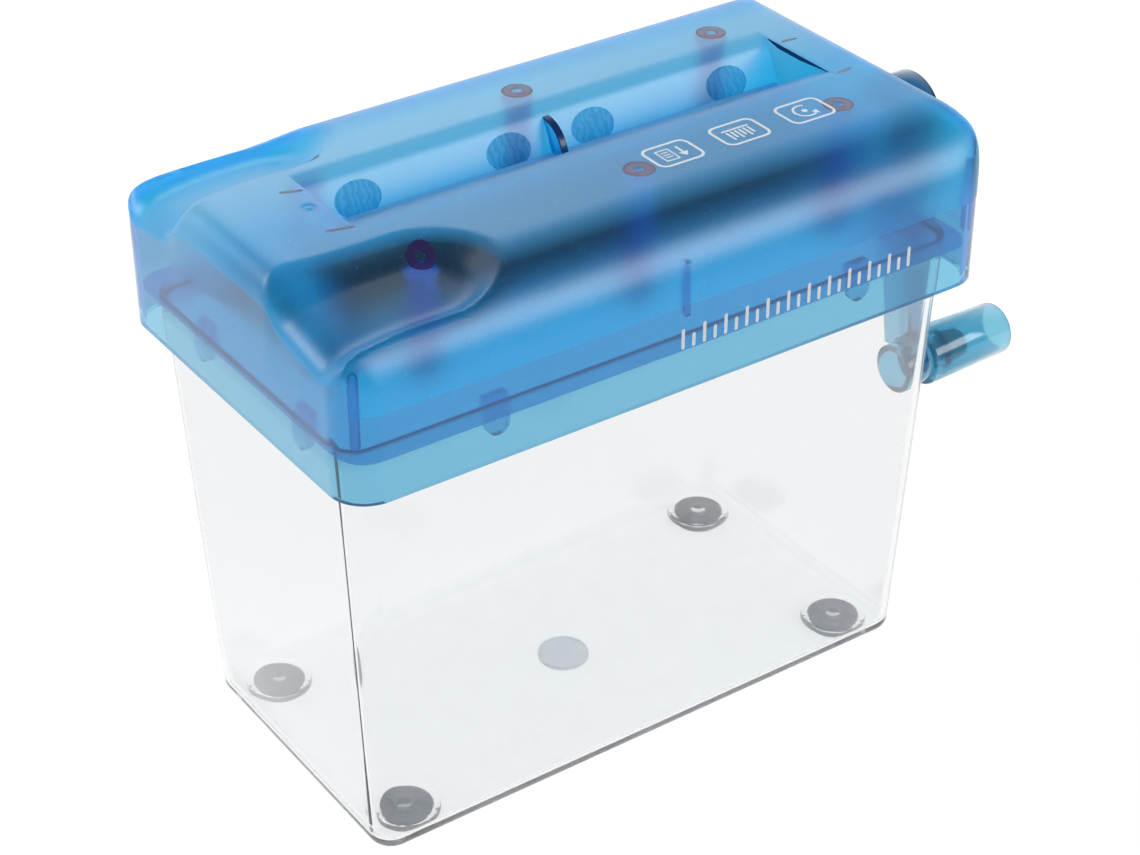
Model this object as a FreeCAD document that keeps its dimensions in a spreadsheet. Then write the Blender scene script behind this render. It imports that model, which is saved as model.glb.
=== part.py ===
"""Hand-cranked mini paper shredder: a clear waste bin under a lift-off cutting head.

Frame: X runs along the paper slot, with the crank at the +X end; the front is -Y; Z is up.
The origin is on the table, under the middle of the bin. All sizes are in millimetres.
"""
import FreeCAD, Part
import Sketcher
import math
import os

V = FreeCAD.Vector
doc = FreeCAD.newDocument("paper_shredder")

# Driving sizes, one spreadsheet cell each
DRIVING = {
    # Waste bin, a tapered clear tub on four rubber feet
    "bin_base_length": 156.0,
    "bin_base_width": 80.5,
    "bin_rim_length": 167.5,
    "bin_rim_width": 86.0,
    "bin_height": 115.5,
    "bin_wall": 1.8,
    "bin_floor": 2.0,
    "bin_corner": 6.0,
    "bin_base_round": 2.5,
    "gate_pad_radius": 6.5,
    "foot_radius": 6.5,
    "foot_stand": 1.5,
    "foot_recess": 1.8,
    "foot_fit": 0.1,
    "foot_dish_radius": 2.0,
    "foot_dish_depth": 0.9,
    "foot_span_x": 130.8,
    "foot_span_y": 58.0,
    # Top cover, a moulded shell with a paper funnel and two finger scoops
    "cover_length": 175.0,
    "cover_width": 102.0,
    "cover_height": 42.0,
    "cover_wall": 2.0,
    "cover_corner": 9.0,
    "cover_side_round": 20.0,
    "cover_end_round": 7.5,
    "skirt_drop": 9.2,
    "scoop_inner": 17.0,
    "scoop_width": 31.0,
    "scoop_reach": 47.5,
    "scoop_step": 3.4,
    "scoop_tilt": 10.8,
    "scoop_round": 4.0,
    "funnel_side_room": 0.85,
    "funnel_front_round": 14.0,
    "funnel_front_slope": 40.0,
    "funnel_back_round": 6.0,
    "funnel_back_slope": 64.0,
    "neck_width": 6.4,
    "neck_front_height": 5.3,
    "neck_back_height": 1.4,
    "neck_gap": 0.8,
    "web_thickness": 1.6,
    "web_radius": 8.3,
    "rib_thickness": 1.4,
    "rib_depth": 5.0,
    "rib_height": 20.0,
    # Base plate that closes the cover, with the window that the strips fall through
    "plate_thickness": 2.0,
    "plate_clearance": 0.3,
    "window_width": 18.0,
    "lug_width": 6.0,
    "lug_length": 9.5,
    "lug_thickness": 1.8,
    "lug_clearance": 0.4,
    "lug_span_x": 101.0,
    "lug_span_y": 44.0,
    # Screw posts and screws
    "post_radius": 3.2,
    "post_clearance": 0.4,
    "post_spacing": 57.0,
    "post_shift": 0.95,
    "screw_radius": 1.2,
    "screw_head_radius": 2.7,
    "screw_head_height": 1.8,
    "screw_fit": 0.1,
    "screw_length": 14.0,
    # Cutters: two interleaved rows of discs between the bearing plates
    "mechanism_x": 5.45,
    "nip_y": 5.9,
    "cutter_radius": 7.7,
    "cutter_floor_gap": 0.9,
    "disc_width": 2.8,
    "disc_clearance": 0.3,
    "disc_count": 21.0,
    "disc_notch": 0.9,
    "spacer_radius": 5.3,
    "hex_radius": 3.8,
    "hex_fit": 0.05,
    "journal_radius": 2.5,
    "running_fit": 0.05,
    "end_play": 0.2,
    "bearing_thickness": 2.5,
    "bearing_gap": 0.3,
    "bearing_margin": 3.4,
    "ear_length": 7.0,
    "ear_width": 6.0,
    "ear_thickness": 2.5,
    "bush_wall": 1.2,
    "bush_flange": 0.8,
    "bush_flange_rim": 1.3,
    "comb_bar_width": 5.0,
    "comb_bar_height": 3.0,
    "comb_finger_rise": 4.2,
    "comb_clearance": 0.6,
    "clip_thickness": 0.8,
    "clip_rim": 1.6,
    # Gears
    "gear_module": 1.0,
    "gear_teeth": 14.0,
    "pinion_teeth": 11.0,
    "gear_width": 6.0,
    "gear_gap": 0.6,
    "gear_backlash": 0.2,
    "drive_lean": 29.2,
    # Crank
    "crank_gap": 0.7,
    "crank_hole_gap": 0.7,
    "hub_radius": 10.2,
    "hub_length": 8.4,
    "hub_wall": 1.8,
    "hub_core_radius": 4.6,
    "hub_dish": 4.4,
    "hub_socket": 4.6,
    "crank_reach": 67.6,
    "crank_lean": 6.7,
    "arm_thickness": 5.4,
    "arm_web": 1.6,
    "arm_rib": 1.6,
    "arm_wide": 13.0,
    "arm_narrow": 10.4,
    "knob_boss_radius": 6.4,
    "knob_boss_length": 8.0,
    "knob_boss_wall": 1.7,
    "knob_boss_dish": 5.4,
    "stub_radius": 3.5,
    "stub_head_radius": 4.4,
    "stub_head_length": 7.4,
    "stub_slot": 1.6,
    "grip_inner_end_radius": 7.5,
    "grip_outer_end_radius": 6.8,
    "grip_length": 26.0,
    "grip_bearing": 5.6,
    "grip_wall": 1.5,
    "grip_play": 0.3,
}

sheet = doc.addObject("Spreadsheet::Sheet", "Sizes")
for row, (alias, value) in enumerate(DRIVING.items(), start=1):
    sheet.set(f"A{row}", alias)
    sheet.set(f"B{row}", str(value))
    sheet.setAlias(f"B{row}", alias)
doc.recompute()


class Size:
    """A length, angle or count: its value now, and the expression that keeps it tied to the sheet."""

    def __init__(self, value, text):
        self.value = value
        self.text = text

    def __add__(self, other):
        other = size(other)
        return Size(self.value + other.value, f"({self.text} + {other.text})")

    def __sub__(self, other):
        other = size(other)
        return Size(self.value - other.value, f"({self.text} - {other.text})")

    def __mul__(self, other):
        other = size(other)
        return Size(self.value * other.value, f"({self.text} * {other.text})")

    def __truediv__(self, other):
        other = size(other)
        return Size(self.value / other.value, f"({self.text} / {other.text})")

    def __neg__(self):
        return Size(-self.value, f"(0 - {self.text})")

    def __radd__(self, other):
        return size(other) + self

    def __rsub__(self, other):
        return size(other) - self

    def __rmul__(self, other):
        return size(other) * self

    def __rtruediv__(self, other):
        return size(other) / self


def size(number):
    """A Size as it is, or a plain number as a Size."""
    if isinstance(number, Size):
        return number
    return Size(float(number), repr(float(number)))


def sine(angle):
    angle = size(angle)
    return Size(math.sin(math.radians(angle.value)), f"sin({angle.text})")


def cosine(angle):
    angle = size(angle)
    return Size(math.cos(math.radians(angle.value)), f"cos({angle.text})")


def tangent(angle):
    angle = size(angle)
    return Size(math.tan(math.radians(angle.value)), f"tan({angle.text})")


class Sheet:
    """Reads the driving sizes as attributes, such as s.bin_wall."""

    def __getattr__(self, alias):
        return Size(float(sheet.get(alias)), f"Sizes.{alias}")


s = Sheet()


def bind(thing, **properties):
    """Tie an object's properties to the sheet; a double underscore in a name stands for a dot."""
    for name, amount in properties.items():
        thing.setExpression(name.replace("__", "."), size(amount).text)


# Sketch and feature helpers
def body(label):
    made = doc.addObject("PartDesign::Body", label)
    made.Label = label
    return made


def origin_feature(owner, role):
    return next(item for item in owner.Origin.OriginFeatures if item.Role == role)


def sketch(owner, plane, start):
    """An empty sketch parallel to an origin plane, moved along that plane's normal by start."""
    made = owner.newObject("Sketcher::SketchObject", f"{owner.Label}_sketch")
    made.AttachmentSupport = [(origin_feature(owner, f"{plane}_Plane"), "")]
    made.MapMode = "FlatFace"
    bind(made, AttachmentOffset__Base__z=start)
    return made


def tie(target, kind, *references_and_value):
    """Add one constraint whose last argument is a Size, bound to the sheet."""
    *references, amount = references_and_value
    amount = size(amount)
    index = target.addConstraint(Sketcher.Constraint(kind, *references, amount.value))
    target.setExpression(f"Constraints[{index}]", amount.text)


def draw_circle(target, centre, radius):
    x, y = (size(value) for value in centre)
    circle = Part.Circle(V(x.value, y.value, 0), V(0, 0, 1), size(radius).value)
    index = target.addGeometry(circle)
    tie(target, "DistanceX", -1, 1, index, 3, x)
    tie(target, "DistanceY", -1, 1, index, 3, y)
    tie(target, "Radius", index, radius)


def arc_between(start, end, radius):
    """The short counter-clockwise arc, or clockwise where the radius is negative."""
    chord = end - start
    middle = (start + end) / 2
    reach = abs(radius)
    height = math.sqrt(max(reach * reach - chord.Length ** 2 / 4, 0))
    left = V(-chord.y, chord.x, 0).normalize()
    side = 1 if radius > 0 else -1
    centre = middle + left * (side * height)
    crown = centre - left * (side * reach)
    return Part.Arc(start, crown, end)


def draw_outline(target, corners):
    """A closed outline. Each corner is (x, y), or (x, y, r) where an arc of radius r runs to the next;
    a negative radius turns clockwise."""
    corners = [tuple(size(value) for value in corner) for corner in corners]
    points = [V(corner[0].value, corner[1].value, 0) for corner in corners]
    count = len(corners)
    sides = []
    for index, corner in enumerate(corners):
        start = points[index]
        end = points[(index + 1) % count]
        if len(corner) == 3:
            edge = arc_between(start, end, corner[2].value)
            clockwise = corner[2].value < 0
        else:
            edge = Part.LineSegment(start, end)
            clockwise = False
        number = target.addGeometry(edge)
        sides.append((number, 2 if clockwise else 1, 1 if clockwise else 2))
    for index, corner in enumerate(corners):
        number, first, last = sides[index]
        following, following_first, unused_last = sides[(index + 1) % count]
        target.addConstraint(Sketcher.Constraint("Coincident", number, last, following, following_first))
        tie(target, "DistanceX", -1, 1, number, first, corner[0])
        tie(target, "DistanceY", -1, 1, number, first, corner[1])
        if len(corner) == 3:
            radius = corner[2] if corner[2].value > 0 else -corner[2]
            tie(target, "Radius", number, radius)


def faceted_rectangle(length, width, corner, facets=4):
    """Corners of a rectangle about the origin whose corners are rounded by a few flats."""
    corners = []
    for quarter, (side_x, side_y) in enumerate(((1, 1), (-1, 1), (-1, -1), (1, -1))):
        centre_x = (length / 2 - corner) * side_x
        centre_y = (width / 2 - corner) * side_y
        for step in range(facets + 1):
            angle = 90.0 * (quarter + step / facets)
            corners.append((centre_x + corner * cosine(angle), centre_y + corner * sine(angle)))
    return corners


def rounded_rectangle(length, width, corner):
    """Counter-clockwise corners of a rectangle about the origin, with quarter-round corners."""
    a = length / 2
    b = width / 2
    return [
        (-a + corner, -b), (a - corner, -b, corner),
        (a, -b + corner), (a, b - corner, corner),
        (a - corner, b), (-a + corner, b, corner),
        (-a, b - corner), (-a, -b + corner, corner),
    ]


def arch(half_width, bottom, top, round_radius):
    """A flat-topped arch: upright sides and two rounded shoulders."""
    return [
        (-half_width, bottom), (half_width, bottom),
        (half_width, top - round_radius, round_radius),
        (half_width - round_radius, top),
        (-half_width + round_radius, top, round_radius),
        (-half_width, top - round_radius),
    ]


def regular_polygon(radius, sides, centre=(0, 0), turn=0.0):
    corners = []
    for k in range(sides):
        angle = turn + 360.0 * k / sides
        corners.append((centre[0] + radius * cosine(angle), centre[1] + radius * sine(angle)))
    return corners


def around(radius, sides, centre=(0, 0)):
    """A polygon whose flats touch a circle from outside, for a hole that takes a round shaft."""
    return regular_polygon(radius / cosine(180.0 / sides), sides, centre)


SMALL_SIDES = 6
BUSH_SIDES = 12
WHEEL_SIDES = 24


def box_outline(x_low, y_low, x_high, y_high):
    return [(x_low, y_low), (x_high, y_low), (x_high, y_high), (x_low, y_high)]


def drawn(owner, plane, start, outlines):
    target = sketch(owner, plane, start)
    for outline in outlines:
        if isinstance(outline, dict):
            draw_circle(target, outline["centre"], outline["radius"])
        else:
            draw_outline(target, outline)
    return target


def ring(radius, centre=(0, 0)):
    return {"centre": centre, "radius": radius}


def pad(owner, plane, start, length, *outlines):
    made = owner.newObject("PartDesign::Pad", f"{owner.Label}_pad")
    made.Profile = drawn(owner, plane, start, outlines)
    bind(made, Length=length)
    doc.recompute()
    return made


def pocket(owner, plane, start, length, *outlines):
    """Cut from the plane at start along the plane's normal; stops if nothing is cut away."""
    before = owner.Shape.Volume
    made = owner.newObject("PartDesign::Pocket", f"{owner.Label}_pocket")
    made.Profile = drawn(owner, plane, start, outlines)
    made.Reversed = True
    bind(made, Length=length)
    doc.recompute()
    if owner.Shape.Volume > before - 1e-3:
        raise RuntimeError(f"{owner.Label}: a pocket cut nothing")
    return made


def revolve(owner, plane, axis, corners):
    made = owner.newObject("PartDesign::Revolution", f"{owner.Label}_revolution")
    profile = drawn(owner, plane, 0, [corners])
    made.Profile = profile
    made.ReferenceAxis = (profile, [axis])
    doc.recompute()
    return made


def turned_along_x(label, y, z, corners):
    """A piece turned about its own axis along X; corners are (x, radius)."""
    made = body(label)
    revolve(made, "XY", "H_Axis", corners)
    bind(made, Placement__Base__y=y, Placement__Base__z=z)
    return made


def repeat(owner, feature, axis, step, count, axis_2=None, step_2=None, count_2=2):
    """Copy a feature in a row, or in a grid where a second axis is given."""
    made = owner.newObject("PartDesign::LinearPattern", f"{owner.Label}_row")
    made.Originals = feature if isinstance(feature, list) else [feature]
    made.Direction = (origin_feature(owner, f"{axis}_Axis"), [""])
    bind(made, Length=step * (size(count) - 1), Occurrences=count)
    if axis_2:
        made.Direction2 = (origin_feature(owner, f"{axis_2}_Axis"), [""])
        bind(made, Length2=step_2 * (size(count_2) - 1), Occurrences2=count_2)
    owner.Tip = made
    doc.recompute()
    return made


def combine(kind, label, pieces):
    made = doc.addObject(kind, label)
    made.Label = label
    made.Shapes = pieces
    made.Refine = True
    doc.recompute()
    return made


def fuse(label, *pieces):
    return combine("Part::MultiFuse", label, list(pieces))


def common(label, *pieces):
    return combine("Part::MultiCommon", label, list(pieces))


def cut(label, base, *tools):
    made = doc.addObject("Part::Cut", label)
    made.Label = label
    made.Base = base
    made.Tool = tools[0] if len(tools) == 1 else fuse(f"{label}_tools", *tools)
    made.Refine = True
    doc.recompute()
    return made


# Heights that the pieces stack up to
bin_bottom = s.foot_stand
plate_bottom = bin_bottom + s.bin_height
plate_top = plate_bottom + s.plate_thickness
skirt_bottom = plate_bottom - s.skirt_drop
cover_top = skirt_bottom + s.cover_height

# Shaft axes
cutter_spacing = s.gear_module * s.gear_teeth
front_y = s.nip_y - cutter_spacing / 2
rear_y = s.nip_y + cutter_spacing / 2
gear_tip = cutter_spacing / 2 + s.gear_module
cutter_z = plate_top + gear_tip + s.cutter_floor_gap - 0.3
drive_distance = s.gear_module * (s.gear_teeth + s.pinion_teeth) / 2
crank_y = front_y - drive_distance * cosine(s.drive_lean)
crank_z = cutter_z + drive_distance * sine(s.drive_lean)

# Places along the shafts
disc_pitch = (s.disc_width + s.disc_clearance) * 2
stack_half = disc_pitch * s.disc_count / 2
funnel_half = stack_half + s.funnel_side_room
funnel_low = s.mechanism_x - funnel_half
funnel_high = s.mechanism_x + funnel_half
left_bearing_in = funnel_low - s.cover_wall - s.bearing_gap
left_bearing_out = left_bearing_in - s.bearing_thickness
right_bearing_in = funnel_high + s.cover_wall + s.bearing_gap
right_bearing_out = right_bearing_in + s.bearing_thickness
left_gear_high = left_bearing_out - s.gear_gap
left_gear_low = left_gear_high - s.gear_width
right_gear_low = right_bearing_out + s.gear_gap
right_gear_high = right_gear_low + s.gear_width
cover_end = s.cover_length / 2
hub_low = cover_end + s.crank_gap
hub_high = hub_low + s.hub_length


# Waste bin: lofted tub with raised seats over the feet
def bin_half_length(z):
    spread = (s.bin_rim_length - s.bin_base_length) / 2
    return s.bin_base_length / 2 + spread * (z - bin_bottom) / s.bin_height


def bin_half_width(z):
    return s.bin_base_width / 2 + (s.bin_rim_width - s.bin_base_width) / 2 * (z - bin_bottom) / s.bin_height


def bin_section(owner, z, inset):
    outline = faceted_rectangle(
        (bin_half_length(z) - inset) * 2, (bin_half_width(z) - inset) * 2, s.bin_corner - s.bin_wall / 2)
    return drawn(owner, "XY", z, [outline])


def bin_loft(owner, kind, label, floor, inset):
    """A tapered block with a softened lower edge, from the floor up to the rim."""
    made = owner.newObject(kind, label)
    edge = s.bin_base_round
    made.Profile = bin_section(owner, floor, inset + edge)
    made.Sections = [
        bin_section(owner, floor + edge * 0.3, inset + edge * 0.3),
        bin_section(owner, floor + edge, inset),
        bin_section(owner, plate_bottom, inset),
    ]
    made.Ruled = True
    doc.recompute()
    return made


waste_bin = body("waste_bin")
bin_loft(waste_bin, "PartDesign::AdditiveLoft", "waste_bin_tub", bin_bottom, size(0))
bin_loft(waste_bin, "PartDesign::SubtractiveLoft", "waste_bin_hollow", bin_bottom + s.bin_floor, s.bin_wall)
foot_places = [
    (s.foot_span_x / 2 * side_x, s.foot_span_y / 2 * side_y) for side_x in (-1, 1) for side_y in (-1, 1)
]
seat_radius = s.foot_radius + s.foot_fit
FOOT_SIDES = 16
seat_rings = [regular_polygon(seat_radius + s.bin_wall, FOOT_SIDES, place) for place in foot_places]
pad(waste_bin, "XY", bin_bottom + s.bin_floor / 2,
    s.foot_recess + s.bin_wall - s.bin_floor / 2, *seat_rings)
recess_rings = [regular_polygon(seat_radius, FOOT_SIDES, place) for place in foot_places]
pocket(waste_bin, "XY", bin_bottom, s.foot_recess, *recess_rings)

# Gate pad: a round rest moulded under the middle of the floor, level with the feet
pad(waste_bin, "XY", 0, bin_bottom + s.bin_floor / 2, regular_polygon(s.gate_pad_radius, FOOT_SIDES))

# Rubber feet: dished buttons pressed into the seats
rubber_feet = body("rubber_feet")
foot_top = s.foot_stand + s.foot_recess
first_foot = (-s.foot_span_x / 2, -s.foot_span_y / 2)
foot = pad(rubber_feet, "XY", 0, foot_top, regular_polygon(s.foot_radius, FOOT_SIDES, first_foot))
dish = pocket(rubber_feet, "XY", 0, s.foot_dish_depth,
              regular_polygon(s.foot_dish_radius, SMALL_SIDES, first_foot))
repeat(rubber_feet, [foot, dish], "X", s.foot_span_x, 2, "Y", s.foot_span_y, 2)


# Top cover: a rounded dome, hollowed by a smaller dome, with the funnel and scoops moulded in
def dome(label, inset):
    half_length = s.cover_length / 2 - inset
    half_width = s.cover_width / 2 - inset
    bottom = skirt_bottom - inset
    top = cover_top - inset
    across = body(f"{label}_across")
    pad(across, "YZ", -half_length, half_length * 2,
        arch(half_width, bottom, top, s.cover_side_round - inset))
    along = body(f"{label}_along")
    pad(along, "XZ", -half_width, half_width * 2, arch(half_length, bottom, top, s.cover_end_round - inset))
    plan = body(f"{label}_plan")
    outline = rounded_rectangle(half_length * 2, half_width * 2, s.cover_corner - inset)
    pad(plan, "XY", bottom, top - bottom, outline)
    return common(label, across, along, plan)


def funnel(label, grow):
    """Section of the paper funnel: rounded lips, sloping walls and an upright neck."""
    above = cover_top + s.cover_wall
    neck_bottom = cutter_z + s.cutter_radius + s.neck_gap
    bottom = neck_bottom - (s.cover_wall - grow)
    front = s.nip_y - s.neck_width / 2
    back = s.nip_y + s.neck_width / 2
    front_round_end = cover_top - s.funnel_front_round * (1 - cosine(s.funnel_front_slope))
    front_neck_top = neck_bottom + s.neck_front_height
    front_end_y = front - (front_round_end - front_neck_top) / tangent(s.funnel_front_slope)
    front_lip_y = front_end_y - s.funnel_front_round * sine(s.funnel_front_slope)
    back_round_end = cover_top - s.funnel_back_round * (1 - cosine(s.funnel_back_slope))
    back_neck_top = neck_bottom + s.neck_back_height
    back_end_y = back + (back_round_end - back_neck_top) / tangent(s.funnel_back_slope)
    back_lip_y = back_end_y + s.funnel_back_round * sine(s.funnel_back_slope)
    made = body(label)
    pad(made, "YZ", funnel_low - grow, funnel_half * 2 + grow * 2, [
        (front_lip_y - grow, above), (front_lip_y - grow, cover_top - grow, -(s.funnel_front_round - grow)),
        (front_end_y - grow, front_round_end - grow), (front - grow, front_neck_top - grow / 2),
        (front - grow, bottom), (back + grow, bottom), (back + grow, back_neck_top - grow / 2),
        (back_end_y + grow, back_round_end - grow, -(s.funnel_back_round - grow)),
        (back_lip_y + grow, cover_top - grow), (back_lip_y + grow, above),
    ])
    return made


def scoop(label, grow):
    """A finger scoop open through the left end: a tilted floor, a round end and a soft inner corner."""
    radius = s.scoop_width / 2 + grow
    centre_x = s.scoop_reach - s.scoop_width / 2
    edge = s.scoop_round + grow

    def plan(owner, z, inset):
        corners = [(-s.cover_wall * 3, s.scoop_width / 2 + radius - inset),
                   (-s.cover_wall * 3, -grow + inset)]
        for step in range(SCOOP_FACETS + 1):
            angle = -90.0 + 180.0 * step / SCOOP_FACETS
            corners.append((centre_x + (radius - inset) * cosine(angle),
                            s.scoop_width / 2 + (radius - inset) * sine(angle)))
        return drawn(owner, "XY", z, [corners])

    made = body(label)
    block = made.newObject("PartDesign::AdditiveLoft", f"{label}_block")
    block.Profile = plan(made, -grow, edge)
    block.Sections = [plan(made, -grow + edge * 0.3, edge * 0.3), plan(made, -grow + edge, size(0)),
                      plan(made, s.cover_height / 2, size(0))]
    block.Ruled = True
    made.Placement = FreeCAD.Placement(V(), FreeCAD.Rotation(V(-1, 0, 0), s.scoop_tilt.value))
    bind(made, Placement__Base__x=-cover_end, Placement__Base__y=s.scoop_inner,
         Placement__Base__z=cover_top - s.scoop_step, Placement__Rotation__Angle=s.scoop_tilt)
    doc.recompute()
    return made


SCOOP_FACETS = 10


def mirrored(label, source):
    made = doc.addObject("Part::Mirroring", label)
    made.Source = source
    made.Normal = V(0, 1, 0)
    doc.recompute()
    return made


post_y = rear_y + s.cutter_radius + s.post_clearance + s.post_radius
post_x = s.mechanism_x - s.post_shift


def post_row(label, plane_start, length, radius, sides):
    """Six uprights under the cover, in two rows of three."""
    made = body(label)
    first = (post_x - s.post_spacing, -post_y)
    single = pad(made, "XY", plane_start, length, regular_polygon(radius, sides, first))
    repeat(made, single, "X", s.post_spacing, 3, "Y", post_y * 2, 2)
    return made


outer_funnel = funnel("funnel_space", size(0))
funnel_skin = funnel("funnel_skin", s.cover_wall)
rear_scoop = scoop("rear_scoop_space", size(0))
rear_scoop_skin = scoop("rear_scoop_skin", s.cover_wall)
front_scoop = mirrored("front_scoop_space", rear_scoop)
front_scoop_skin = mirrored("front_scoop_skin", rear_scoop_skin)
cover_block = cut("cover_block", dome("cover_outside", size(0)), outer_funnel, rear_scoop, front_scoop)
cover_void = cut("cover_void", dome("cover_inside", s.cover_wall),
                 funnel_skin, rear_scoop_skin, front_scoop_skin)
cover_shell = cut("cover_shell", cover_block, cover_void)

# Inside the cover: screw posts, a stiffening rib on the front wall and the finger guard in the funnel
POST_SIDES = 10
posts = post_row("cover_posts", plate_top, cover_top - plate_top, s.post_radius, POST_SIDES)
front_rib = body("cover_front_rib")
wall_y = -s.cover_width / 2 + s.cover_wall / 2
pad(front_rib, "XY", plate_top, s.rib_height, box_outline(
    -s.rib_thickness / 2, wall_y, s.rib_thickness / 2, wall_y + s.cover_wall / 2 + s.rib_depth))
inner_ribs = common("cover_inner_ribs", fuse("cover_ribs", posts, front_rib), cover_block)
guard = body("finger_guard_disc")
guard_y = s.nip_y + s.web_radius - s.neck_width / 2 + 2.6
guard_z = cutter_z + s.cutter_radius + s.neck_gap + s.web_radius / 3
pad(guard, "YZ", s.mechanism_x - s.web_thickness / 2, s.web_thickness,
    ring(s.web_radius, (guard_y, guard_z)))
finger_guard = common("finger_guard", guard, funnel_skin)
screw_hole = s.screw_radius + s.screw_fit
post_holes = post_row("post_holes", plate_top, s.screw_length - s.plate_thickness, screw_hole, SMALL_SIDES)
crank_hole = body("crank_hole")
pad(crank_hole, "YZ", cover_end - s.cover_wall * 2, s.cover_wall * 3,
    regular_polygon(s.journal_radius + s.crank_hole_gap, BUSH_SIDES, (crank_y, crank_z)))
cover_moulding = fuse("cover_moulding", cover_shell, inner_ribs, finger_guard)
top_cover = cut("top_cover", cover_moulding, post_holes, crank_hole)

# Base plate: closes the cover, rests on the bin's rim and has lugs that drop inside it
base_plate = body("base_plate")
plate_inset = s.cover_wall + s.plate_clearance
pad(base_plate, "XY", plate_bottom, s.plate_thickness, rounded_rectangle(
    s.cover_length - plate_inset * 2, s.cover_width - plate_inset * 2, s.cover_corner - plate_inset))
lug_low = plate_bottom - s.lug_length
lug_half = s.lug_width / 2


def lug_outline(middle):
    """A tongue with a rounded lower end."""
    root = plate_bottom + s.plate_thickness / 2
    return [
        (middle - lug_half, root), (middle - lug_half, lug_low + lug_half * 0.8),
        (middle - lug_half * 0.7, lug_low + lug_half * 0.2), (middle - lug_half * 0.2, lug_low),
        (middle + lug_half * 0.2, lug_low), (middle + lug_half * 0.7, lug_low + lug_half * 0.2),
        (middle + lug_half, lug_low + lug_half * 0.8), (middle + lug_half, root),
    ]


lug_y = bin_half_width(lug_low) - s.bin_wall - s.lug_clearance
lug_x = bin_half_length(lug_low) - s.bin_wall - s.lug_clearance
for side in (-1, 1):
    side_start = lug_y - s.lug_thickness if side < 0 else -lug_y
    for end in (-1, 1):
        pad(base_plate, "XZ", side_start, s.lug_thickness,
            lug_outline(s.mechanism_x + s.lug_span_x / 2 * end))
    end_start = lug_x - s.lug_thickness if side > 0 else -lug_x
    for end in (-1, 1):
        pad(base_plate, "YZ", end_start, s.lug_thickness, lug_outline(s.lug_span_y / 2 * end))
window_low = s.nip_y - s.window_width / 2
pocket(base_plate, "XY", plate_bottom, s.plate_thickness,
       box_outline(funnel_low, window_low, funnel_high, window_low + s.window_width))
for step in (-1, 0, 1):
    for side in (-1, 1):
        place = (post_x + s.post_spacing * step, post_y * side)
        pocket(base_plate, "XY", plate_bottom, s.plate_thickness,
               regular_polygon(screw_hole, SMALL_SIDES, place))

# Bearing plates: stand on the base plate at both ends of the cutters
ear_front = front_y - gear_tip - s.bearing_gap * 3
ear_rear = rear_y + gear_tip + s.bearing_gap * 3
ear_x_left = left_bearing_out - s.ear_length / 2
ear_x_right = right_bearing_out + s.ear_length / 2
bush_radius = s.journal_radius + s.running_fit + s.bush_wall
lobe = bush_radius + s.bearing_margin
for place in (ear_front - s.ear_width / 2, ear_rear + s.ear_width / 2):
    for ear_x in (ear_x_left, ear_x_right):
        pocket(base_plate, "XY", plate_bottom, s.plate_thickness,
               regular_polygon(screw_hole, SMALL_SIDES, (ear_x, place)))


def bearing_plate(label, plate_low, ear_low, ear_x, outline, holes):
    made = body(label)
    pad(made, "YZ", plate_low, s.bearing_thickness, outline)
    for y_low in (ear_front - s.ear_width, ear_rear):
        pad(made, "XY", plate_top, s.ear_thickness, box_outline(
            ear_low, y_low, ear_low + s.ear_length + s.bearing_thickness, y_low + s.ear_width))
        hole = regular_polygon(screw_hole, SMALL_SIDES, (ear_x, y_low + s.ear_width / 2))
        pocket(made, "XY", plate_top, s.ear_thickness, hole)
    for hole in holes:
        pocket(made, "YZ", plate_low, s.bearing_thickness, regular_polygon(bush_radius, BUSH_SIDES, hole))
    return made


def lobe_corner(axis, first_angle, last_angle):
    """Flats round a shaft axis, from one angle to another."""
    corners = []
    for step in range(4):
        angle = first_angle + (last_angle - first_angle) * step / 3
        corners.append((axis[0] + lobe * cosine(angle), axis[1] + lobe * sine(angle)))
    return corners


ear_front_low = ear_front - s.ear_width
ear_rear_high = ear_rear + s.ear_width
ear_top = plate_top + s.ear_thickness
front_axis = (front_y, cutter_z)
rear_axis = (rear_y, cutter_z)
crank_axis = (crank_y, crank_z)
foot_line = [(ear_front_low, ear_top), (ear_front_low, plate_top),
             (ear_rear_high, plate_top), (ear_rear_high, ear_top)]
left_bearing_plate = bearing_plate(
    "left_bearing_plate", left_bearing_out, left_bearing_out - s.ear_length, ear_x_left,
    foot_line + lobe_corner(rear_axis, 0, 90) + lobe_corner(front_axis, 90, 180), [front_axis, rear_axis])
right_bearing_plate = bearing_plate(
    "right_bearing_plate", right_bearing_in, right_bearing_in, ear_x_right,
    foot_line + lobe_corner(rear_axis, 0, 90) + lobe_corner(crank_axis, 60, 180),
    [front_axis, rear_axis, crank_axis])


# Bushes: flanged sleeves in the bearing plates, flanges towards the cutters
def bush(label, axis, flange_low, sleeve_low):
    made = body(label)
    bore = ring(s.journal_radius + s.running_fit)
    flange = regular_polygon(bush_radius + s.bush_flange_rim, BUSH_SIDES)
    pad(made, "YZ", flange_low, s.bush_flange, flange, bore)
    pad(made, "YZ", sleeve_low, s.bearing_thickness, regular_polygon(bush_radius, BUSH_SIDES), bore)
    bind(made, Placement__Base__y=axis[0], Placement__Base__z=axis[1])
    return made


right_flange = right_bearing_in - s.bush_flange
shaft_bushes = doc.addObject("Part::Compound", "shaft_bushes")
shaft_bushes.Label = "shaft_bushes"
shaft_bushes.Links = [
    bush("bush_left_front", front_axis, left_bearing_in, left_bearing_out),
    bush("bush_left_rear", rear_axis, left_bearing_in, left_bearing_out),
    bush("bush_right_front", front_axis, right_flange, right_bearing_in),
    bush("bush_right_rear", rear_axis, right_flange, right_bearing_in),
    bush("bush_crank", crank_axis, right_flange, right_bearing_in),
]
doc.recompute()

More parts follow.
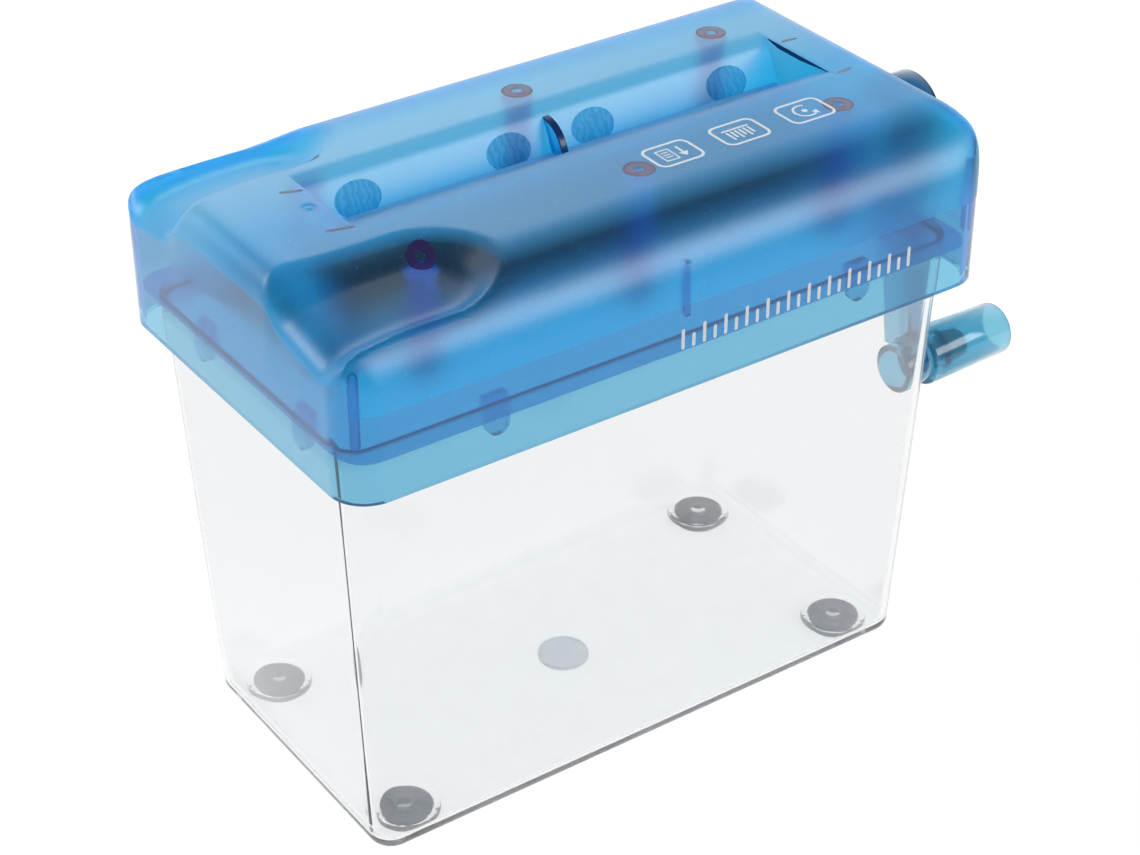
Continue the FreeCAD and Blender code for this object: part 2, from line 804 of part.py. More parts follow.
# Cutter shafts: hexagon bars with turned journals
hex_low = left_bearing_in + s.bush_flange + s.end_play
hex_high = right_bearing_in - s.bush_flange - s.end_play
left_tip = left_gear_low - s.clip_thickness * 2


def cutter_shaft(label, y, right_tip):
    made = body(label)
    pad(made, "YZ", hex_low, hex_high - hex_low, regular_polygon(s.hex_radius, 6))
    pad(made, "YZ", left_tip, right_tip - left_tip, ring(s.journal_radius))
    bind(made, Placement__Base__y=y, Placement__Base__z=cutter_z)
    return made


front_tip = right_gear_high + s.clip_thickness
rear_tip = right_bearing_out + s.gear_gap + s.clip_thickness * 2
front_cutter_shaft = cutter_shaft("front_cutter_shaft", front_y, front_tip)
rear_cutter_shaft = cutter_shaft("rear_cutter_shaft", rear_y, rear_tip)

# Cutter discs: saw-edged plates with spacing hubs on the hexagon, front and rear rows interleaved
DISC_TEETH = 6
hex_bore = regular_polygon(s.hex_radius + s.hex_fit, 6)


def saw_edge():
    """Hooked teeth: a full-radius tip, then a short drop to the notch."""
    corners = []
    notch = s.cutter_radius - s.disc_notch
    for tooth in range(DISC_TEETH):
        tip = 360.0 * tooth / DISC_TEETH
        root = tip + 360.0 * 0.18 / DISC_TEETH
        corners.append((s.cutter_radius * cosine(tip), s.cutter_radius * sine(tip)))
        corners.append((notch * cosine(root), notch * sine(root)))
    return corners


def disc_row(label, first_x, hub_x, y):
    made = body(label)
    disc = pad(made, "YZ", first_x, s.disc_width, saw_edge(), hex_bore)
    hub = pad(made, "YZ", hub_x, disc_pitch - s.disc_width, regular_polygon(s.spacer_radius, 6), hex_bore)
    repeat(made, [disc, hub], "X", disc_pitch, s.disc_count)
    bind(made, Placement__Base__y=y, Placement__Base__z=cutter_z)
    return made


front_first = s.mechanism_x - stack_half + s.disc_clearance / 2
rear_first = front_first + disc_pitch / 2
front_hub = front_first + s.disc_width
rear_hub = rear_first + s.disc_width - disc_pitch
front_cutter_discs = disc_row("front_cutter_discs", front_first, front_hub, front_y)
rear_cutter_discs = disc_row("rear_cutter_discs", rear_first, rear_hub, rear_y)


# Stripper combs: fingers between the discs that lift the strips off, hung under the window
def stripper(label, side, first_x):
    """side is -1 for the front comb and +1 for the rear one."""
    edge = s.nip_y + (s.window_width / 2) * side
    outer = edge + s.comb_bar_width * side
    inner = edge - s.comb_clearance * side
    tip = s.nip_y + (s.window_width / 4) * side
    made = body(label)
    low = plate_bottom - s.comb_bar_height
    finger_width = disc_pitch - s.disc_width - s.comb_clearance * 2
    finger_outline = [
        (outer, low), (outer, plate_bottom), (edge, plate_bottom), (inner, plate_bottom),
        (inner, plate_bottom + s.comb_finger_rise / 2), (tip, plate_bottom + s.comb_finger_rise), (tip, low),
    ]
    if side < 0:
        finger_outline.reverse()
    finger = pad(made, "YZ", first_x + s.comb_clearance, finger_width, finger_outline)
    repeat(made, finger, "X", disc_pitch, s.disc_count - 1)
    y_low = outer if side < 0 else edge
    pad(made, "YZ", funnel_low, funnel_half * 2,
        box_outline(y_low, low, y_low + s.comb_bar_width, plate_bottom))
    return made


front_stripper = stripper("front_stripper", -1, front_first + s.disc_width)
rear_stripper = stripper("rear_stripper", 1, rear_first + s.disc_width)


# Gears: one pair keeps the cutters in step, a pinion on the crank shaft drives the front cutter
def gear(label, x_low, y, z, teeth, tooth_angle):
    """Straight-sided teeth on a root disc; one tooth is centred at tooth_angle from +Y towards +Z."""
    module = s.gear_module
    pitch_radius = module * teeth / 2
    root = pitch_radius - module * 1.3
    tip = pitch_radius + module * 0.95
    tip_half = module * 0.42 - s.gear_backlash / 2
    root_half = module * 1.12 - s.gear_backlash / 2
    foot_radius = root - module * 0.25
    made = body(label)
    sides = round(size(teeth).value)
    pad(made, "YZ", x_low, s.gear_width, around(root, sides), around(s.journal_radius, 8))
    tooth = pad(made, "YZ", x_low, s.gear_width, [
        (foot_radius, -root_half), (tip, -tip_half), (tip, tip_half), (foot_radius, root_half),
    ])
    pattern = made.newObject("PartDesign::PolarPattern", f"{label}_teeth")
    pattern.Originals = [tooth]
    pattern.Axis = (origin_feature(made, "X_Axis"), [""])
    bind(pattern, Occurrences=teeth)
    made.Tip = pattern
    made.Placement = FreeCAD.Placement(V(), FreeCAD.Rotation(V(1, 0, 0), size(tooth_angle).value))
    bind(made, Placement__Base__y=y, Placement__Base__z=z)
    if size(tooth_angle).value:
        bind(made, Placement__Rotation__Angle=tooth_angle)
    doc.recompute()
    return made


line_of_drive = 180 - s.drive_lean
front_gear = gear("front_gear", left_gear_low, front_y, cutter_z, s.gear_teeth, 0)
rear_gear = gear("rear_gear", left_gear_low, rear_y, cutter_z, s.gear_teeth, 180 + 180 / s.gear_teeth)
driven_gear = gear("driven_gear", right_gear_low, front_y, cutter_z, s.gear_teeth, line_of_drive)
drive_pinion = gear("drive_pinion", right_gear_low, crank_y, crank_z, s.pinion_teeth,
                    180 + line_of_drive + 180 / s.pinion_teeth)


# Retaining clips: thin rings that keep the shafts from sliding out
def clip(label, y, x_low):
    made = body(label)
    rim = regular_polygon(s.journal_radius + s.clip_rim, 8)
    pad(made, "YZ", x_low, s.clip_thickness, rim, around(s.journal_radius, 8))
    bind(made, Placement__Base__y=y, Placement__Base__z=cutter_z)
    return made


front_clip = clip("front_clip", front_y, left_gear_low - s.clip_thickness)
rear_left_clip = clip("rear_left_clip", rear_y, left_gear_low - s.clip_thickness)
rear_right_clip = clip("rear_right_clip", rear_y, right_bearing_out + s.gear_gap / 2)


# Screws: heads and plain shanks, all of one kind in one row or grid
def screw_row(label, head_low, shank_low, length, first, step_x, count_x, step_y):
    made = body(label)
    head = pad(made, "XY", head_low, s.screw_head_height, regular_polygon(s.screw_head_radius, 8, first))
    shank = pad(made, "XY", shank_low, length, regular_polygon(s.screw_radius, SMALL_SIDES, first))
    repeat(made, [head, shank], "X", step_x, count_x, "Y", step_y, 2)
    return made


cover_screws = screw_row(
    "cover_screws", plate_bottom - s.screw_head_height, plate_bottom, s.screw_length - s.screw_fit * 2,
    (post_x - s.post_spacing, -post_y), s.post_spacing, 3, post_y * 2)
bearing_screw_length = s.ear_thickness + s.plate_thickness
bearing_screws = screw_row(
    "bearing_screws", ear_top, plate_bottom, bearing_screw_length,
    (ear_x_left, ear_front - s.ear_width / 2), ear_x_right - ear_x_left, 2,
    ear_rear - ear_front + s.ear_width)

# Crank shaft, from the right bearing plate out into the crank's hub
crank_shaft = turned_along_x("crank_shaft", crank_y, crank_z, [
    (right_bearing_in - s.bush_flange - s.end_play, 0),
    (hub_low + s.hub_socket, 0), (hub_low + s.hub_socket, s.journal_radius),
    (right_bearing_in - s.bush_flange - s.end_play, s.journal_radius),
])


# Crank arm: dished hub, channel-section arm and the hollow boss with a split snap stub for the grip
def on_crank(piece):
    """Turn a piece made about the crank's axis to the lean that the crank rests at."""
    piece.Placement = FreeCAD.Placement(V(), FreeCAD.Rotation(V(-1, 0, 0), s.crank_lean.value))
    bind(piece, Placement__Base__y=crank_y, Placement__Base__z=crank_z,
         Placement__Rotation__Angle=s.crank_lean)
    return piece


arm_low = hub_high - s.arm_thickness
boss_high = hub_high + s.arm_web / 2
boss_low = boss_high - s.knob_boss_length
stub_neck = s.grip_play * 2 + s.grip_bearing
knob = (0, -s.crank_reach)
crank_arm = body("crank_arm")
wide = s.arm_wide / 2
narrow = s.arm_narrow / 2
pad(crank_arm, "YZ", hub_low, s.hub_length, regular_polygon(s.hub_radius, WHEEL_SIDES))
pad(crank_arm, "YZ", arm_low, s.arm_thickness, [
    (-wide, 0), (-narrow, -s.crank_reach), (narrow, -s.crank_reach), (wide, 0)])
pad(crank_arm, "YZ", boss_low, s.knob_boss_length, regular_polygon(s.knob_boss_radius, WHEEL_SIDES, knob))
channel_top = -s.hub_radius - s.arm_rib / 2
channel_end = -s.crank_reach + s.knob_boss_radius + s.arm_rib / 2
pocket(crank_arm, "YZ", arm_low, s.arm_thickness - s.arm_web, [
    (-wide + s.arm_rib, channel_top), (-narrow + s.arm_rib, channel_end),
    (narrow - s.arm_rib, channel_end), (wide - s.arm_rib, channel_top)])
pocket(crank_arm, "YZ", hub_high - s.hub_dish, s.hub_dish,
       regular_polygon(s.hub_radius - s.hub_wall, WHEEL_SIDES),
       regular_polygon(s.hub_core_radius, BUSH_SIDES))
pocket(crank_arm, "YZ", hub_low, s.hub_socket, around(s.journal_radius, 8))
pocket(crank_arm, "YZ", hub_low + s.hub_socket, s.hub_length - s.hub_socket,
       regular_polygon(s.screw_radius, SMALL_SIDES))
pocket(crank_arm, "YZ", boss_low, s.knob_boss_dish,
       regular_polygon(s.knob_boss_radius - s.knob_boss_wall, WHEEL_SIDES, knob))
pad(crank_arm, "YZ", boss_high, stub_neck, ring(s.stub_radius, knob))
pad(crank_arm, "YZ", boss_high + stub_neck, s.stub_head_length,
    regular_polygon(s.stub_head_radius, BUSH_SIDES, knob))
pocket(crank_arm, "YZ", boss_high + s.grip_bearing / 2, stub_neck + s.stub_head_length, box_outline(
    -s.stub_slot / 2, -s.crank_reach - s.stub_head_radius,
    s.stub_slot / 2, -s.crank_reach + s.stub_head_radius))
on_crank(crank_arm)

# Crank screw: holds the hub on the shaft, its head on the hub's core
crank_screw = body("crank_screw")
pad(crank_screw, "YZ", hub_high, s.screw_head_height, regular_polygon(s.screw_head_radius, 8))
pad(crank_screw, "YZ", hub_low + s.hub_socket, s.hub_length - s.hub_socket,
    regular_polygon(s.screw_radius, SMALL_SIDES))
on_crank(crank_screw)

# Crank grip: a tapered sleeve, open at its outer end, that spins on the stub
grip_low = boss_high + s.grip_play
grip_high = grip_low + s.grip_length
grip_floor = grip_low + s.grip_bearing
crank_grip = body("crank_grip")


def grip_loft(kind, label, start, start_radius, end_radius):
    made = crank_grip.newObject(kind, label)
    made.Profile = drawn(crank_grip, "YZ", start, [regular_polygon(start_radius, WHEEL_SIDES)])
    made.Sections = [drawn(crank_grip, "YZ", grip_high, [regular_polygon(end_radius, WHEEL_SIDES)])]
    made.Ruled = True
    doc.recompute()


grip_loft("PartDesign::AdditiveLoft", "crank_grip_sleeve", grip_low,
          s.grip_inner_end_radius, s.grip_outer_end_radius)
grip_loft("PartDesign::SubtractiveLoft", "crank_grip_bore", grip_floor,
          s.grip_inner_end_radius - s.grip_wall, s.grip_outer_end_radius - s.grip_wall)
pocket(crank_grip, "YZ", grip_low, s.grip_bearing, ring(s.stub_radius + s.running_fit))
bind(crank_grip, Placement__Base__y=crank_y - s.crank_reach * sine(s.crank_lean),
     Placement__Base__z=crank_z - s.crank_reach * cosine(s.crank_lean))
doc.recompute()

NODES = [
    waste_bin, rubber_feet, top_cover, base_plate, cover_screws, left_bearing_plate, right_bearing_plate,
    shaft_bushes, bearing_screws, front_stripper, rear_stripper,
    front_cutter_shaft, front_cutter_discs, front_gear, driven_gear, front_clip,
    rear_cutter_shaft, rear_cutter_discs, rear_gear, rear_left_clip, rear_right_clip,
    crank_shaft, drive_pinion, crank_arm, crank_screw, crank_grip,
]

for item in doc.Objects:
    if any(word in item.State for word in ("Invalid", "Error")):
        raise RuntimeError(f"{item.Label} failed: {item.State}")
for node in NODES:
    if node.Shape.isNull() or not node.Shape.isValid():
        raise RuntimeError(f"{node.Label} has no valid shape")

os.makedirs("parts", exist_ok=True)
for node in NODES:
    node.Shape.exportStep(os.path.join("parts", f"{node.Label}.step"))
    print(f"{node.Label}: {len(node.Shape.Solids)} solids, {node.Shape.Volume:.0f} mm3")
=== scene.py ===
"""Hand-crank mini paper shredder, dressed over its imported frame."""
import bpy
import bmesh
import math
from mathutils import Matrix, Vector


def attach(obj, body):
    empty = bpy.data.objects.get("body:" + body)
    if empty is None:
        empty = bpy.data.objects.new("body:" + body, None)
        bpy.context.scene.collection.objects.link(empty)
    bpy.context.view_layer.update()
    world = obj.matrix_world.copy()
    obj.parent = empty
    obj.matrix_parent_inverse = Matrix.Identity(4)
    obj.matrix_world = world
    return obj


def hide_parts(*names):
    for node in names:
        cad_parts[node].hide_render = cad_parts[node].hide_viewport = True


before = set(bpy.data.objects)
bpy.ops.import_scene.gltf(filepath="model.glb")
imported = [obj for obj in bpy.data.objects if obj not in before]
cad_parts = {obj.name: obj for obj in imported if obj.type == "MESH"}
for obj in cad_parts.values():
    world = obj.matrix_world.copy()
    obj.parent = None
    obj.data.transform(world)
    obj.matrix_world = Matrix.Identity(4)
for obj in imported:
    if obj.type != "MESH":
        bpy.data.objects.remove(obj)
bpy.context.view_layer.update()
scene = bpy.context.scene
MM = 0.001


# Camera
# A short telephoto lens above the front left corner, level with the horizon.
# Place and lens were fitted to the object's straight edges.
def stand(thing, place, target):
    """Stand the camera or a lamp at a place, level and looking at a target."""
    thing.location = place
    thing.rotation_mode = "QUATERNION"
    thing.rotation_quaternion = (Vector(target) - Vector(place)).to_track_quat("-Z", "Y")
    scene.collection.objects.link(thing)


camera = bpy.data.objects.new("camera", bpy.data.cameras.new("camera"))
camera.data.sensor_width = 36.0
camera.data.lens = 82.91
camera.data.clip_start = 0.01
camera.data.clip_end = 20.0
stand(camera, Vector((-304.09, -440.64, 416.94)) * MM, Vector((-1.59, -6.26, 74.45)) * MM)
scene.camera = camera


# Studio
# A white table before a white backdrop, with the darker room behind the camera. A large soft lamp stands
# at the front right, and weaker ones at the back left and the back. The object keeps its shadow.
def hex_colour(code):
    """An sRGB hex colour as linear red, green, blue and alpha."""
    parts = [int(code[i:i + 2], 16) / 255 for i in (1, 3, 5)]
    linear = [c / 12.92 if c <= 0.04045 else ((c + 0.055) / 1.055) ** 2.4 for c in parts]
    return (*linear, 1.0)


def add_node(tree, kind, inputs=None, **settings):
    """Add a node; inputs maps a socket's name or number to a value or to another node's output."""
    made = tree.nodes.new(kind)
    for name, value in settings.items():
        setattr(made, name, value)
    for key, value in (inputs or {}).items():
        if isinstance(value, bpy.types.NodeSocket):
            tree.links.new(value, made.inputs[key])
        else:
            made.inputs[key].default_value = value
    return made


def new_material(name):
    material = bpy.data.materials.new(name)
    material.use_nodes = True
    material.node_tree.nodes.clear()
    return material, material.node_tree


def seen_directly(tree, path):
    """1 for rays that look at a surface straight, in a mirror or through a clear wall."""
    looks = add_node(tree, "ShaderNodeMath", {
        0: path.outputs["Is Camera Ray"], 1: path.outputs["Is Glossy Ray"]}, operation="MAXIMUM")
    both = add_node(tree, "ShaderNodeMath", {
        0: looks.outputs[0], 1: path.outputs["Is Transmission Ray"]}, operation="MAXIMUM")
    return both.outputs[0]


scene.view_settings.view_transform = "Standard"
studio = bpy.data.worlds.new("white_studio")
studio.use_nodes = True
studio_tree = studio.node_tree
studio_tree.nodes.clear()
studio_path = add_node(studio_tree, "ShaderNodeLightPath")
studio_way = add_node(studio_tree, "ShaderNodeTexCoord")
studio_split = add_node(studio_tree, "ShaderNodeSeparateXYZ", {0: studio_way.outputs["Generated"]})
backdrop_fade = add_node(studio_tree, "ShaderNodeMapRange", {
    0: studio_split.outputs[2], 1: 0.5, 2: 0.78, 3: 1.0, 4: 0.06})
room_fade = add_node(studio_tree, "ShaderNodeMapRange", {
    0: studio_split.outputs[1], 1: -0.3, 2: 0.15, 3: 0.08, 4: 1.0})
room_level = add_node(studio_tree, "ShaderNodeMath", {
    0: backdrop_fade.outputs[0], 1: room_fade.outputs[0]}, operation="MULTIPLY")
through_level = add_node(studio_tree, "ShaderNodeMath", {
    0: studio_path.outputs["Is Transmission Ray"], 1: 0.5}, operation="MULTIPLY")
lowest_level = add_node(studio_tree, "ShaderNodeMath", {
    0: room_level.outputs[0], 1: through_level.outputs[0]}, operation="MAXIMUM")
backdrop_level = add_node(studio_tree, "ShaderNodeMath", {
    0: lowest_level.outputs[0], 1: studio_path.outputs["Is Camera Ray"]}, operation="MAXIMUM")
lit_by = add_node(studio_tree, "ShaderNodeBackground", {"Color": hex_colour("#FAFAFA"), "Strength": 0.5})
looks_like = add_node(studio_tree, "ShaderNodeBackground", {
    "Color": hex_colour("#FFFFFF"), "Strength": backdrop_level.outputs[0]})
studio_mix = add_node(studio_tree, "ShaderNodeMixShader", {
    0: seen_directly(studio_tree, studio_path), 1: lit_by.outputs[0], 2: looks_like.outputs[0]})
add_node(studio_tree, "ShaderNodeOutputWorld", {"Surface": studio_mix.outputs[0]})
scene.world = studio

table_paper, table_tree = new_material("white_table_paper")
table_path = add_node(table_tree, "ShaderNodeLightPath")
paper = add_node(table_tree, "ShaderNodeBsdfDiffuse", {"Color": hex_colour("#949494")})
glow = add_node(table_tree, "ShaderNodeEmission", {"Color": hex_colour("#FFFFFF"), "Strength": 0.79})
lifted = add_node(table_tree, "ShaderNodeAddShader", {0: paper.outputs[0], 1: glow.outputs[0]})
table_mix = add_node(table_tree, "ShaderNodeMixShader", {
    0: seen_directly(table_tree, table_path), 1: paper.outputs[0], 2: lifted.outputs[0]})
add_node(table_tree, "ShaderNodeOutputMaterial", {"Surface": table_mix.outputs[0]})
table_mesh = bpy.data.meshes.new("table")
table_mesh.from_pydata([(-4, -4, 0), (4, -4, 0), (4, 4, 0), (-4, 4, 0)], [], [(0, 1, 2, 3)])
table_mesh.materials.append(table_paper)
table = bpy.data.objects.new("table", table_mesh)
scene.collection.objects.link(table)


def soft_lamp(name, place, aim, width, height, watts):
    """A panel of soft light that shows as a gleam on gloss, but not as a panel behind clear walls."""
    lamp = bpy.data.objects.new(name, bpy.data.lights.new(name, "AREA"))
    lamp.data.shape = "RECTANGLE"
    lamp.data.size = width
    lamp.data.size_y = height
    lamp.data.energy = watts
    lamp.visible_transmission = False
    stand(lamp, place, aim)


soft_lamp("front_softbox", (0.70, -1.05, 0.72), (0, 0, 0.12), 0.9, 0.55, 9.5)
soft_lamp("left_softbox", (-0.95, 0.7, 0.85), (0, 0, 0.1), 0.5, 0.5, 4.5)
soft_lamp("back_softbox", (0.25, 0.95, 1.0), (0, 0, 0.12), 0.9, 0.6, 2.2)

# Waste bin
# Clear injection-moulded polystyrene tub: thin tapering walls, a flat floor with a raised blister over
# each foot and a round gate mark in the middle. It stands on its feet and the head rests on its rim.
BIN_BOTTOM = 1.5
BIN_RIM = 117.0
BIN_WALL = 1.8
BIN_FLOOR = 2.0
BIN_BASE = (78.0, 40.25)
BIN_TOP = (83.75, 43.0)
BIN_CORNER = 6.0
BIN_EDGE = 3.0
BIN_INNER_EDGE = 2.2
BIN_LEVELS = (30.0, 60.0, 90.0)
FLOOR_INSETS = (37.2, 18.6)
FLOOR_CORNER = 2.0
FOOT_PLACE = (65.4, 29.0)


def piece(name, mesh, body, *materials):
    """Link a finished mesh as a piece of the object and let it ride on a body."""
    made = bpy.data.objects.new(name, mesh)
    for material in materials:
        mesh.materials.append(material)
    scene.collection.objects.link(made)
    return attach(made, body)


def mesh_from(name, points, faces, sharp=None, material_numbers=None):
    """A mesh from points in millimetres, smooth but for edges sharper than an angle in degrees."""
    mesh = bpy.data.meshes.new(name)
    mesh.from_pydata([tuple(value * MM for value in point) for point in points], [], faces)
    if material_numbers:
        mesh.polygons.foreach_set("material_index", material_numbers)
    mesh.shade_smooth()
    if sharp is not None:
        mesh.set_sharp_from_angle(angle=math.radians(sharp))
    mesh.validate()
    return mesh


def solid(name, shape, sharp=None):
    """A closed mesh from points and faces, its doubles merged and its faces turned outwards."""
    mesh = mesh_from(name, *shape, sharp=sharp)
    work = bmesh.new()
    work.from_mesh(mesh)
    bmesh.ops.remove_doubles(work, verts=work.verts, dist=1e-7)
    bmesh.ops.recalc_face_normals(work, faces=work.faces)
    work.to_mesh(mesh)
    work.free()
    return mesh


def arc(centre, radius, first, last, steps):
    """Points along an arc, from one angle in degrees to another."""
    points = []
    for step in range(steps + 1):
        angle = math.radians(first + (last - first) * step / steps)
        points.append((centre[0] + radius * math.cos(angle), centre[1] + radius * math.sin(angle)))
    return points


def rounded_loop(half_length, half_width, corner, per_corner=10):
    """Points round a rectangle with round corners, counter-clockwise from the +X side."""
    points = []
    for quarter, (sx, sy) in enumerate(((1, 1), (-1, 1), (-1, -1), (1, -1))):
        centre = ((half_length - corner) * sx, (half_width - corner) * sy)
        points += arc(centre, corner, 90 * quarter, 90 * quarter + 90, per_corner)
    return points


def bridge_loops(rings, closed=True):
    """Points and faces of quads between rings of equal length, with the first and last ring filled."""
    count = len(rings[0])
    points = [point for ring in rings for point in ring]
    faces = []
    for a in range(0, (len(rings) - 1) * count, count):
        for k in range(count):
            n = (k + 1) % count
            faces.append((a + k, a + n, a + count + n, a + count + k))
    if closed:
        faces.append(tuple(reversed(range(count))))
        faces.append(tuple(range((len(rings) - 1) * count, len(rings) * count)))
    return points, faces


def closed_ring(rings):
    """The same for a ring-shaped solid whose last ring joins the first."""
    return bridge_loops(rings + [rings[0]], False)


def turned(profile, centre=(0, 0), segments=48, axis="Z", hollow=False):
    """A profile of (radius, height) turned about an upright axis or one along X."""
    rings = []
    for radius, height in profile:
        ring = arc(centre, radius, 0, 360 - 360 / segments, segments - 1)
        rings.append([(a, b, height) if axis == "Z" else (height, a, b) for a, b in ring])
    return closed_ring(rings) if hollow else bridge_loops(rings)


def plain_mesh(thing):
    """The evaluated shape of an object as a mesh of its own, with the object's modifiers taken off."""
    view = bpy.context.evaluated_depsgraph_get()
    mesh = bpy.data.meshes.new_from_object(thing.evaluated_get(view))
    bpy.data.objects.remove(thing)
    return mesh


def combined(name, mesh, steps, sharp):
    """Add shapes to a closed mesh or cut them from it; steps are (operation, mesh) in order."""
    thing = bpy.data.objects.new(name, mesh)
    scene.collection.objects.link(thing)
    tools = []
    for operation, other in steps:
        tool = bpy.data.objects.new(name + "_tool", other)
        scene.collection.objects.link(tool)
        layer = thing.modifiers.new("step", "BOOLEAN")
        layer.operation = operation
        layer.solver = "EXACT"
        layer.object = tool
        tools.append(tool)
    made = plain_mesh(thing)
    for tool in tools:
        bpy.data.objects.remove(tool)
    made.shade_smooth()
    made.set_sharp_from_angle(angle=math.radians(sharp))
    return made


def tub_ring(z, inset, corner, lift=0.0):
    """A loop of the tub, in from its outer face at a height; lift raises it at the same size."""
    share = (z - BIN_BOTTOM) / (BIN_RIM - BIN_BOTTOM)
    half = [low + (high - low) * share - inset for low, high in zip(BIN_BASE, BIN_TOP)]
    return [(x, y, z + lift) for x, y in rounded_loop(*half, corner)]


def tub_rings():
    """Loops of the tub from the middle of its underside, up the outside and down the inside."""
    rings = [tub_ring(BIN_BOTTOM, inset, FLOOR_CORNER) for inset in FLOOR_INSETS]
    for step in range(7):
        angle = math.radians(90 * step / 6)
        inset = BIN_EDGE * (1 - math.sin(angle))
        z = BIN_BOTTOM + BIN_EDGE * (1 - math.cos(angle))
        rings.append(tub_ring(z, inset, max(BIN_CORNER - inset, FLOOR_CORNER)))
    for z in (*BIN_LEVELS, BIN_RIM - 1.0, BIN_RIM - 0.3):
        rings.append(tub_ring(z, 0.0, BIN_CORNER))
    for inset in (0.2, 0.45):
        rings.append(tub_ring(BIN_RIM, inset, BIN_CORNER - inset))
    chamfer = [(BIN_RIM - 0.3, 0.65), (BIN_RIM - 0.8, 0.75), (BIN_RIM - 1.4, BIN_WALL - 0.02),
               (BIN_RIM - 2.2, BIN_WALL)]
    for z, wall in chamfer + [(z, BIN_WALL) for z in reversed(BIN_LEVELS)]:
        rings.append(tub_ring(z, wall, BIN_CORNER - wall))
    for step in range(5, -1, -1):
        angle = math.radians(90 * step / 5)
        inset = BIN_WALL + BIN_INNER_EDGE * (1 - math.sin(angle))
        z = BIN_BOTTOM + BIN_FLOOR + BIN_INNER_EDGE * (1 - math.cos(angle))
        rings.append(tub_ring(z, inset, max(BIN_CORNER - inset, 1.5)))
    return rings + [tub_ring(BIN_BOTTOM, inset, FLOOR_CORNER, BIN_FLOOR) for inset in reversed(FLOOR_INSETS)]


def clear_wall(name, tint, roughness, ior, passes, clear=1.0, coat=None, pattern=None):
    """A clear plastic wall. Lamps shine through it, dimmed by its tint at each of its two faces.

    clear is the share of light that isn't scattered, coat the roughness and index of its gloss, and
    pattern a function that adds nodes and says which of the shader's sockets they feed.
    """
    material, tree = new_material(name)
    shader = add_node(tree, "ShaderNodeBsdfPrincipled", {
        "Base Color": hex_colour(tint), "Roughness": roughness, "IOR": ior, "Transmission Weight": clear})
    if coat:
        shader.inputs["Coat Weight"].default_value = 1.0
        shader.inputs["Coat Roughness"].default_value = coat[0]
        shader.inputs["Coat IOR"].default_value = coat[1]
    if pattern:
        for socket, output in pattern(tree).items():
            tree.links.new(output, shader.inputs[socket])
    passing = add_node(tree, "ShaderNodeBsdfTransparent", {"Color": hex_colour(passes)})
    path = add_node(tree, "ShaderNodeLightPath")
    either = add_node(tree, "ShaderNodeMixShader", {
        0: path.outputs["Is Shadow Ray"], 1: shader.outputs[0], 2: passing.outputs[0]})
    add_node(tree, "ShaderNodeOutputMaterial", {"Surface": either.outputs[0]})
    return material


def scuffs(tree):
    """A thin haze of fine scuffs and dust on the floor and the rim, in clouds about 20 mm wide."""
    place = add_node(tree, "ShaderNodeTexCoord")
    split = add_node(tree, "ShaderNodeSeparateXYZ", {0: place.outputs["Object"]})
    cloud = add_node(tree, "ShaderNodeTexNoise", {
        "Vector": place.outputs["Object"], "Scale": 50.0, "Detail": 5.0})
    most = add_node(tree, "ShaderNodeMapRange", {0: cloud.outputs[0], 1: 0.3, 2: 0.7, 3: 0.95, 4: 0.88})
    floor = add_node(tree, "ShaderNodeMapRange", {0: split.outputs[2], 1: 0.003, 2: 0.006, 3: 1.0, 4: 0.0})
    rim = add_node(tree, "ShaderNodeMapRange", {0: split.outputs[2], 1: 0.1105, 2: 0.1125})
    where = add_node(tree, "ShaderNodeMath", {0: floor.outputs[0], 1: rim.outputs[0]}, operation="MAXIMUM")
    clear = add_node(tree, "ShaderNodeMapRange", {0: where.outputs[0], 3: 0.995, 4: most.outputs[0]})
    return {"Transmission Weight": clear.outputs[0]}


# Crystal polystyrene, polished mould: water-clear, glossy, faintly grey through its thickness.
crystal = clear_wall("crystal_polystyrene", "#F5F6F6", 0.02, 1.55, "#F7F7F8", pattern=scuffs)
seat_profile = [(8.4, 2.6), (8.4, 4.2), (8.25, 4.7), (7.85, 5.0), (7.3, 5.1),
                (2.4, 5.1), (2.0, 5.25), (1.6, 5.6), (0.9, 5.75)]
pocket_profile = [(6.6, 0.8), (6.6, 3.2), (6.4, 3.4)]
tub_steps = []
for sx, sy in ((-1, -1), (-1, 1), (1, -1), (1, 1)):
    place = (sx * FOOT_PLACE[0], sy * FOOT_PLACE[1])
    tub_steps.append(("UNION", solid("seat", turned(seat_profile, place))))
    tub_steps.append(("DIFFERENCE", solid("pocket", turned(pocket_profile, place))))
tub_start = solid("waste_bin_start", bridge_loops(tub_rings()))
tub = piece("waste_bin_shell", combined("waste_bin_start", tub_start, tub_steps, 30), "bin", crystal)
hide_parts("waste_bin")

# Frosted polystyrene: the sprue's trimmed end, left grey and matt under the middle of the floor.
matt_crystal = clear_wall("matt_crystal_polystyrene", "#D8DCE4", 0.45, 1.5, "#E0E4E8", 0.6)
gate_profile = [(2.0, 0.4), (2.3, 0.0), (5.9, 0.0), (6.5, 0.5), (6.5, 1.45)]
gate_pad = piece("gate_pad", solid("gate_pad", turned(gate_profile), 40), "bin", matt_crystal)


